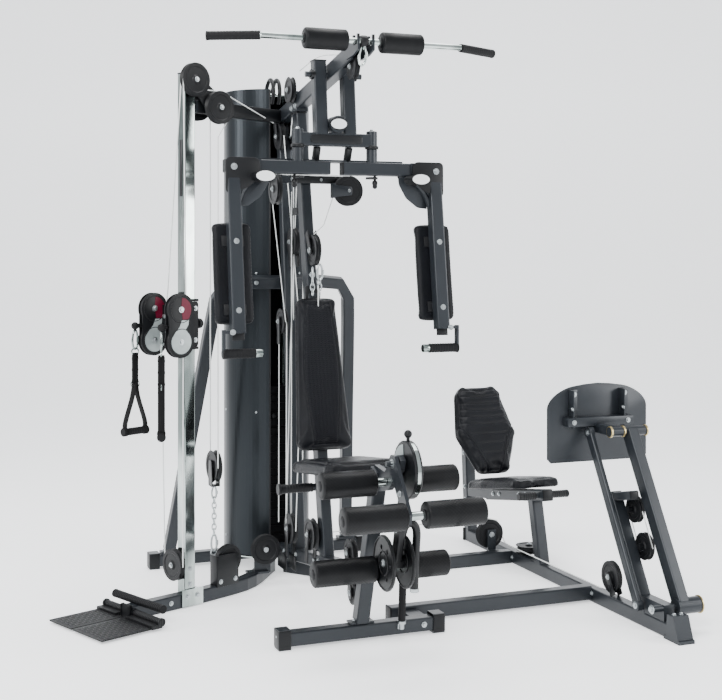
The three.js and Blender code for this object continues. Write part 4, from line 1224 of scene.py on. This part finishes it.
for sign in (-1, 1):
    end_cap(p, (sign * (507 - 21), 1310, 36.6), RIGHT, 64, 65, 46)
    end_cap(p, (sign * (316 - 21), 25, 36.6), RIGHT, 64, 65, 46)
end_cap(p, (PRESS_X, 1314, 30.5), REAR, 54, 52, 8)
end_cap(p, col(-278, 0, 29.6), ALONG, 54, 51, 8)
end_cap(p, (168, 175, 36), RIGHT, 54, 58, 8)
p.done()

# Shroud trim: edge strips along the front slot, two bands and screws.
p = Piece("shroud_trim", "base", PLASTIC)
for sign in (-1, 1):
    angle = -math.pi / 2 + sign * SLOT_ANGLE
    x, y = SHROUD_R * math.cos(angle), SHROUD_Y + SHROUD_R * math.sin(angle)
    p.tube([(x, y, 84), (x, y, 2093)], 3.4, 8)
for z in (86, 2092):
    for sign in (-1, 1):
        start = -math.pi / 2 + sign * SLOT_ANGLE
        sweep_path = [(185.6 * math.cos(t), SHROUD_Y + 185.6 * math.sin(t), z)
                      for t in np.linspace(start, start + sign * (math.pi - SLOT_ANGLE - 0.01), 40)]
        p.tube(sweep_path, 3.2, 8)
p.done()
p = Piece("shroud_screws", "base", STEEL)
for z in (150, 700, 1300, 1980):
    for t in (-2.1, -1.0, 0.1, 1.4, 2.2, 3.2):
        way = (math.cos(t), math.sin(t), 0)
        p.dome_bolt((SHROUD_R * way[0], SHROUD_Y + SHROUD_R * way[1], z), way, 5, 3)
p.done()

# The selector pin's knob.
p = Piece("selector_knob", "weight_selector", PLASTIC)
p.lathe([(0, -1), (5, -1), (5, 26), (9, 27), (13, 31), (13, 42), (9, 47), (0, 48)], (0, 1138.6, 675), FRONT,
        24)
p.done("selector_pin")

p = Piece("black_fittings", "base", PAINT_DARK)
tie_from, tie_to = Vector((-26, 932, 1966)), Vector((-448, 700, 1966))
p.block((tie_from + tie_to) / 2, (52.4, 45.6, (tie_to - tie_from).length), 2.5, along=tie_to - tie_from,
        across=UP)
p.block((-27.5, 880, 96), (5, 116, 74), 1.5)
p.block((-27.5, 742, 118), (5, 90, 60), 1.5)
p.block(col(188, -24, 112), (107, 2, 125), 0.6, across=ALONG)
p.block(col(134, -1, 112), (2, 45, 125), 0.6, across=ALONG)
p.block((75, 634.4, 1684), (240, 3, 31), 1)
p.block((0, 566, 1216), (60, 14, 80), 4)
p.done()
p = Piece("cross_pulley_bracket", "base", PAINT)
p.plate(rounded([(96, 1612), (180, 1622), (180, 1656), (96, 1664)], 8), (0, 598, 0), RIGHT, UP, 3)
p.block((104, 612, 1640), (14, 30, 60), 2)
p.done()
# A sleeved rest that stands on the front stabiliser, with its metal foot.
p = Piece("stabiliser_rest_bar", "base", RUBBER)
p.lathe([(0, 0), (13, 0.5), (13.5, 3), (13.5, 168), (12, 174), (6, 178), (0, 179)], (142, -14, 62),
        (0, -0.06, 1), 28)
p.done()
p = Piece("stabiliser_rest_foot", "base", STEEL)
p.lathe([(0, -30), (9, -30), (9, -12), (15, -10), (15, 0), (0, 0)], (142, -14, 64), (0, -0.06, 1), 24)
p.block((142, -4, 44), (26, 8, 24), 2)
p.hex_bolt((236, -1, 36), FRONT, 7)
p.done()


# ------------------------------------------------------------------ leg developer
p = Piece("leg_developer_trim", "leg_developer", CHROME)
# A bright band round the front of the cam, and the sleeve on the ankle axle.
cam_centre = Vector((29, CAM_Y, CAM_Z))
band = [cam_centre + Vector((0, 98.4 * math.cos(t), 98.4 * math.sin(t)))
        for t in np.linspace(math.radians(112), math.radians(222), 24)]
p.tube(band, 2, flat=(12, 2.2), across=RIGHT)
p.lathe([(12.9, -42), (14, -42), (14, 42), (12.9, 42)], (22, -165, 300), RIGHT, 28)
p.done()
p = Piece("leg_developer_sector", "leg_developer", LIGHT)
sector = arc(CAM_Y, CAM_Z, 84, np.linspace(0.25, 1.5, 14)) + arc(CAM_Y, CAM_Z, 40, np.linspace(1.5, 0.25, 10))
p.plate(sector, (14.6, 0, 0), REAR, UP, -2.6)
p.plate(sector, (43.4, 0, 0), REAR, UP, 2.6)
p.done()
p = Piece("leg_developer_discs", "leg_developer", PAINT_DARK, "frame_paint")
for x, r in ((-18.4, 95), (53.6, 92)):
    for radius in (r - 6, 40):
        ring = [Vector((x - 0.6, DISC_Y + radius * math.cos(t), DISC_Z + radius * math.sin(t)))
                for t in around(48, 1)]
        p.tube(ring, 2.2, 8, caps=False)
# The handle: a tube from the cam side bent down past the discs, with its cap.
handle = smooth_path([(52, -228, 420), (62, -236, 456), (84, -242, 464), (100, -243, 438), (99, -241, 380),
                      (95, -240, 300), (93, -240, 240)], 6)
p.tube(handle, 14, 20)
p.done()
p = Piece("leg_developer_bolts", "leg_developer", STEEL)
p.hex_bolt((-19, DISC_Y, DISC_Z), LEFT, 9)
p.hex_bolt((63, DISC_Y, DISC_Z), RIGHT, 9)
p.hex_bolt((15, CAM_Y, CAM_Z), LEFT, 0.1, 0.1, washer=False)
for t in (0.5, 2.6, 4.7):
    p.dome_bolt((62, DISC_Y + 66 * math.cos(t), DISC_Z + 66 * math.sin(t)), RIGHT, 6, 3)
p.lathe([(14.4, 0), (16, 1), (16, 12), (13, 14), (0, 14)], (93, -240, 241), DOWN, 24)
for z in (560, 450):
    y = CAM_Y + (z - LEVER_Z) / (DISC_Z - LEVER_Z) * 103
    p.hex_bolt((15.6, y, z), LEFT, 6)
    p.hex_bolt((42.4, y, z), RIGHT, 6)
p.done()
p = Piece("cam_pull_knob", "cam_pull_pin", PLASTIC)
p.lathe([(0, 0), (6, 0), (6, 9), (9, 10), (9, 13), (5.5, 14.5)], (29, CAM_Y, 762.6), UP, 24)
p.ball((29, CAM_Y, 784), 13.6)
p.done("cam_pin")
p = Piece("shin_arm_trim", "shin_hold_down", STEEL)
p.hex_bolt((-28, CAM_Y, LEVER_Z), LEFT, 11, 7)
p.hex_bolt((-28, -400, 600), LEFT, 7)
p.done()
p = Piece("shin_axle_sleeve", "shin_hold_down", CHROME)
p.lathe([(12.7, -2), (14.2, -1.5), (14.2, 63.5), (12.7, 64)], (-29, -455, 536), RIGHT, 28)
p.done()
p = Piece("thigh_axle_sleeve", "base", CHROME)
for x0, x1 in ((-50, -11), (11, 50)):
    p.lathe([(12.7, 0), (14.2, 0.5), (14.2, x1 - x0 - 0.5), (12.7, x1 - x0)], (x0, -238, 611), RIGHT, 28)
p.done()

# ------------------------------------------------------------------ cable column
for label, n in (("front", -88), ("rear", 88)):
    block = Piece(f"{label}_block_wheels", "cable_carriage", PLASTIC)
    for dz in (-BLOCK_WHEEL, BLOCK_WHEEL):
        pulley_wheel(block, col(BLOCK_S, n, CARRIAGE_Z + dz), ACROSS, 55, 18)
    block.done()
    plates = Piece(f"{label}_block_plates", "cable_carriage", PLASTIC)
    eight = []
    for first, z in ((-22, UPPER_Z), (158, LOWER_Z)):
        turn = [math.radians(first) + math.radians(224) * k / 40 for k in range(41)]
        eight += arc(BLOCK_S, z, 61.5, turn)
    for dn in (-15, 11):
        plates.plate(eight, col(0, n + dn + (0 if dn > 0 else 4), 0), ALONG, UP, 4, bevel=1.2)
        face = n + dn + (4 if dn > 0 else 0)
        out = math.copysign(1, dn)
        for dz in (-BLOCK_WHEEL, BLOCK_WHEEL):
            c0 = Vector(col(BLOCK_S, face, CARRIAGE_Z + dz))
            ring = [c0 + Vector(ALONG) * 50 * math.cos(t) + Vector(UP) * 50 * math.sin(t)
                    for t in around(40, 1)]
            plates.tube(ring, 2.0, 8, caps=False)
    # Cheeks that hold the plates to the carriage.
    for dn in (-8, 8):
        plates.block(col(-50, n + dn, CARRIAGE_Z), (40, 4, 96), 1.5, across=ALONG)
    plates.done(f"pulley_block_{label}")
    bolts = Piece(f"{label}_block_bolts", "cable_carriage", STEEL)
    for dz in (-BLOCK_WHEEL, BLOCK_WHEEL):
        for sign in (-1, 1):
            bolts.hex_bolt(col(BLOCK_S, n + sign * 15.2, CARRIAGE_Z + dz), Vector(ACROSS) * sign, 8)
    bolts.lathe([(4.5, 0), (4.5, 44)], col(-172, n, 1104), ALONG, 16)
    bolts.done()
    label_red = Piece(f"{label}_block_red_panel", "cable_carriage", RED)
    label_red.plate(arc(BLOCK_S, UPPER_Z, 46, np.linspace(-0.5, 1.5, 16)) +
                    arc(BLOCK_S, UPPER_Z, 12, np.linspace(1.6, -1.4, 8)) +
                    [(-92, 1132), (-64, 1132)], col(0, n - 15.1, 0), ALONG, UP, 1.0, bevel=0)
    label_red.done()
    label_grey = Piece(f"{label}_block_grey_panel", "cable_carriage", LIGHT)
    label_grey.plate(arc(BLOCK_S, LOWER_Z, 46, np.linspace(-3.5, 0.9, 30)) +
                     [(-78, 1094), (-66, 1112), (-64, 1129), (-96, 1129), (-106, 1104), (-124, 1086)],
                     col(0, n - 15.1, 0), ALONG, UP, 1.0, bevel=0)
    label_grey.done()
    stop = Piece(f"{label}_ball_stop", "cable_carriage", RUBBER)
    stop.ball(col(-180, n, 1104), 14.8)
    stop.lathe([(9, 0), (9, 10), (6, 22), (0, 22)], col(-168, n, 1104), ALONG, 20)
    stop.done()

    # The handle: snap hook, D ring, sleeve, two straps and a grip.
    body = f"{label}_strap_handle"
    axis = Vector((0.57 * ALONG[0] + 0.82 * ACROSS[0], 0.57 * ALONG[1] + 0.82 * ACROSS[1], 0)).normalized() \
        if n < 0 else Vector((ALONG[0] + 0.1 * ACROSS[0], ALONG[1] + 0.1 * ACROSS[1], 0)).normalized()
    top = Vector(col(-180, n, 1088))
    metal = Piece(f"{label}_handle_hooks", body, CHROME)
    carabiner(metal, top, 74, 30, 4.4, across=axis)
    ring = [top + Vector((0, 0, -84)) + axis * 17 * math.cos(t) + Vector((0, 0, 13 * math.sin(t)))
            for t in around(24, 1)]
    metal.tube(ring, 3, 10, caps=False)
    for shift in (-9, 9):
        loop = [top + Vector((0, 0, -210)) + axis * (shift + 12 * math.cos(t)) +
                Vector((0, 0, 12 * math.sin(t)))
                for t in around(20, 1)]
        metal.tube(loop, 2.4, 8, caps=False)
    metal.done()
    sleeve = Piece(f"{label}_handle_sleeve", body, WEB)
    wide = axis if n > 0 else axis.cross(Vector(UP))
    sleeve.tube([top + Vector((0, 0, -z)) for z in (94, 98, 130, 170, 202, 206)], 4, flat=(27, 12),
                across=wide)
    sleeve.tube([top + Vector((0, 0, -z)) for z in (88, 92, 98)], 4, flat=(24, 7), across=wide)
    for z in (106, 150, 194):
        sleeve.tube([top + Vector((0, 0, -z)), top + Vector((0, 0, -z - 8))], 4, flat=(29, 13.4), across=wide)
    sleeve.done()
    webbing = Piece(f"{label}_handle_straps", body, WEB)
    sideways = axis.cross(Vector(UP)).normalized()
    for k in (-1, 1):
        tip = top + Vector((0, 0, -392)) + axis * 50 * k
        webbing.tube(smooth_path([top + Vector((0, 0, -202)) + axis * 3 * k,
                                  top + Vector((0, 0, -260)) + axis * 14 * k,
                                  tip + Vector((0, 0, 40)) - axis * 3 * k, tip + Vector((0, 0, 6))], 6),
                     4, flat=(27, 3.4), across=sideways)
        webbing.tube([tip + (Vector(UP) * math.cos(t) + sideways * math.sin(t)) * 15.4
                      for t in around(24, 1)], 4, flat=(18, 3), across=axis, caps=False)
    webbing.done(sharp=60)
    grip = Piece(f"{label}_handle_grip", body, RUBBER)
    profile = [(0, 0), (14.2, 0), (15.2, 2), (15.2, 8)] + ribbed(12, 8, 14.6, 13.6, pitch=11.5)
    profile += [(15.2, 112), (15.2, 118), (14.2, 120), (0, 120)]
    grip.lathe(profile, top + Vector((0, 0, -392)) - axis * 60, axis, 28)
    grip.done(f"strap_handle_{label}")

p = Piece("carriage_face_plate", "cable_carriage", PLASTIC)
p.plate(rounded([(-32, 1024), (32, 1024), (32, 1192), (-32, 1192)], 6), col(0, -33.2, 0), ALONG, UP, 3)
for z in (1014, 1202):                    # square collars, open in the middle for the column
    for side in (-31.3, 31.3):
        p.block(col(side, 0, z), (7.4, 70, 10), 2, across=ALONG)
        p.block(col(0, side, z), (55, 7.4, 10), 2, across=ALONG)
p.done()
p = Piece("carriage_bolts", "cable_carriage", STEEL)
for z in (LOWER_Z, UPPER_Z):
    for s in (-18, 18):
        p.hex_bolt(col(s, -36.2, z), NEAR, 6.5)
for n in (-60, -40, 40, 60):
    p.hex_bolt(col(-63.2, n, CARRIAGE_Z + (30 if abs(n) > 50 else -30)), Vector(ALONG) * -1, 6)
p.done()
p = Piece("carriage_pull_knob", "carriage_pull_pin", PLASTIC)
p.lathe([(0, 0), (6, 0), (6, 14), (11, 15), (19, 21), (20.5, 28), (19, 35), (12, 42), (4, 45), (0, 45)],
        col(33.4, 0, CARRIAGE_Z), ALONG, 36)
p.done("carriage_pin")
p = Piece("column_trim", "base", PAINT_DARK)
p.block(col(0, 0, 2093), (52, 52, 6), 2, across=ALONG)
for k in range(13):                       # holes down the column's side for the carriage's pin
    z = 560 + k * 100
    p.lathe([(0, 0), (7, 0), (7, 0.7), (5.6, 1.2), (5.4, 0.5), (0, 0.4)], col(25, 0, z), ALONG, 20)
p.block(col(-25.6, 0, 1720), (2, 17, 222), 0.5, across=ALONG)
p.done()
p = Piece("column_bolts", "base", STEEL)
for s, z in ((-16, 44), (30, 44)):
    p.hex_bolt(col(s, -32, z), NEAR, 7)
for z in (90, 150):
    p.hex_bolt(col(0, -25, z), NEAR, 6.5)
for s in (152, 226):
    p.hex_bolt(col(s, -23.5, 70 if s < 200 else 72), NEAR, 6.5)
for s in (-150, -90):
    p.hex_bolt(col(s, -25, 30), NEAR, 6.5)
p.done()

# The rubber sleeve over the heel bar of the row station, and the plates' tread and collars.
p = Piece("row_heel_sleeve", "base", RUBBER)
profile = [(12.2, 0), (15.5, 1.5)] + ribbed(6, 27, 15.6, 14.6) + [(15.5, 309), (12.2, 310)]
p.lathe(profile, col(HEEL_S, -170, HEEL_Z), ACROSS, 28)
for n, sign in ((-170, -1), (140, 1)):
    p.lathe([(0, 0), (15.8, 0), (16, 1), (16, 6), (13, 8), (0, 8)], col(HEEL_S, n, HEEL_Z),
            Vector(ACROSS) * sign, 28)
p.done()
for label, sign, width, reach in (("left", 1, 156, 168), ("right", -1, 196, 212)):
    p = Piece(f"{label}_row_plate_rim", f"{label}_row_plate", PAINT_DARK)
    for row in range(13):                 # raised bars of the tread, turned in pairs
        for bar in range(int(width / 15) - 1):
            s, n = -496 + row * 15, sign * (26 + bar * 15)
            slant = 1 if (row + bar) % 2 else -1
            p.block(col(s, n, 16.4), (11, 3.2, 1.4), 0.5, across=Vector(ALONG) + Vector(ACROSS) * slant)
    for n in (sign * (26.4 + 6), sign * (reach - 6)):
        p.lathe([(13.1, -5), (16, -4), (16, 4), (13.1, 5)], col(-262, n, 30), ACROSS, 24)
    p.done()

# ------------------------------------------------------------------ leg press
p = Piece("leg_press_bolts", "base", STEEL)
side_bolts(p, 25, ((700, 330), (760, 320), (950, 288), (1010, 278)), middle=PRESS_X)
for y in (150, 200, 824, 872):
    p.hex_bolt((1029, y, 28 if y > 500 else 36), LEFT, 7)
side_bolts(p, 25, ((1306, 200), (1312, 260), (1326, 420), (1332, 500)), middle=PRESS_X)
p.hex_bolt((1201, -325, 100), RIGHT, 11, 7)
p.hex_bolt((989, -325, 100), LEFT, 11, 7)
for y, z in ((-60, 130), (-150, 100)):
    p.hex_bolt((1080, y, z - 30), RIGHT, 6)
for x in (1040, 1070):
    p.hex_bolt((x, -388, 92), UP, 6)
p.hex_bolt((958, 881, 122), FRONT, 8)
p.done()
p = Piece("leg_press_caps", "base", PLASTIC)
p.block((PRESS_X, 546, 352.6), (46, 6, 46), 2, along=(0, 0.165, 0.986))
p.block((PRESS_X, 1338.5, 562), (46, 46, 5), 2)
p.block((PRESS_X, -114, 470), (36, 6, 30), 2, along=(0, 0.2, 0.98))
for sign in (-1, 1):
    profile = [(12.2, 0), (16, 1.5)] + ribbed(6, 6, 16.2, 15.2)
    profile += [(16.4, 80), (14, 83), (0, 83)]
    p.lathe(profile, (PRESS_X + sign * 38, 586, 346), (sign, 0, 0), 28)
p.done()
p = Piece("leg_press_plate_bolts", "leg_press_plate", STEEL)
for x in (957, 1189):
    for z in (715, 825):
        p.hex_bolt((x + 6, 171, z), FRONT, 7)
    p.hex_bolt((x - 20, 140, 770), LEFT, 6)
for x in (940, 1186):
    p.hex_bolt((x, 131, 719), FRONT, 6.5)
p.done()
p = Piece("leg_press_bushes", "leg_press_plate", BRASS)
for x in (-33, 33):
    p.lathe([(19.2, -4), (22, -3), (22, 3), (19.2, 4)], (PRESS_X + x * 0.86, 12, 694), RIGHT, 32)
p.done()
p = Piece("leg_press_lever_trim", "leg_press_lever", BRASS)
p.lathe([(19.2, -4), (22.4, -3), (22.4, 3), (19.2, 4)], (1186, 12, 694), RIGHT, 32)
p.lathe([(30.2, -3), (33, -2), (33, 2), (30.2, 3)], (1191, -325, 100), RIGHT, 36)
p.done()
p = Piece("leg_press_lever_bolts", "leg_press_lever", STEEL)
p.hex_bolt((1191, 12, 694), RIGHT, 9)
for k in (0.2, 0.45, 0.7):
    p.hex_bolt((1139, -325 + 337 * k, 100 + 594 * k), RIGHT, 6.5)
p.done()
p = Piece("leg_press_link_bolts", "leg_press_link", STEEL)
for y, z in ((-205, 84), (132, 678)):
    p.hex_bolt((998, y, z), LEFT, 9)
p.done()
p = Piece("leg_press_tread", "leg_press_plate", TREAD)
p.plate(rounded([(-186, 584), (186, 584), (200, 640), (200, 786), (124, 838), (-124, 838), (-200, 786),
                 (-200, 640)], 16), (1073, 187.4, 0), RIGHT, UP, 3)
p.done()
p = Piece("leg_press_pulley_brackets", "base", PAINT_DARK)
p.tube([(1068, -50, 403), (1086, -50, 403)], 11, 20)
p.tube([(1068, -122, 276), (1082, -122, 276)], 11, 20)
p.block((1110, -122, 276), (5, 40, 40), 2)
p.block((1096, -96, 250), (36, 90, 5), 1.5, along=(0, 0.4, 0.9))
p.tube([(1082, 760, 56), (1082, 760, 74)], 14, 20)
p.block((1066, 760, 58), (70, 60, 6), 1.5)
p.done()
# The foot plate with its brackets, built afresh so that its shoulders are rounded.
p = Piece("leg_press_foot_board", "leg_press_plate", PAINT)
board = [(-228, 572), (-212, 556), (212, 556), (228, 572), (228, 770)]
board += [(228 - 110 * (1 - math.cos(t)), 770 + 62 * math.sin(t) + 24 * (1 - math.cos(t)))
          for t in np.linspace(0.12, math.pi / 2, 10)]
board += [(60, 864), (0, 868), (-60, 864)]
board += [(-x, z) for x, z in board[14:4:-1]] + [(-228, 770)]
p.plate(board, (1073, 184, 0), RIGHT, UP, 8, bevel=1.4)
for x in (957, 1189):
    p.block((x, 173.4, 770), (40, 5.5, 150), 1.5)
    p.block((x - 17, 154, 770), (6, 40, 150), 1.5)
p.block((1063, 154, 719), (300, 46, 36), 3)
p.block((PRESS_X, 88, 694), (40, 152, 36), 3)
p.lathe([(0, -33), (18, -33), (19, -32), (19, 32), (18, 33), (0, 33)], (PRESS_X, 12, 694), RIGHT, 36)
p.done("press_foot_plate")
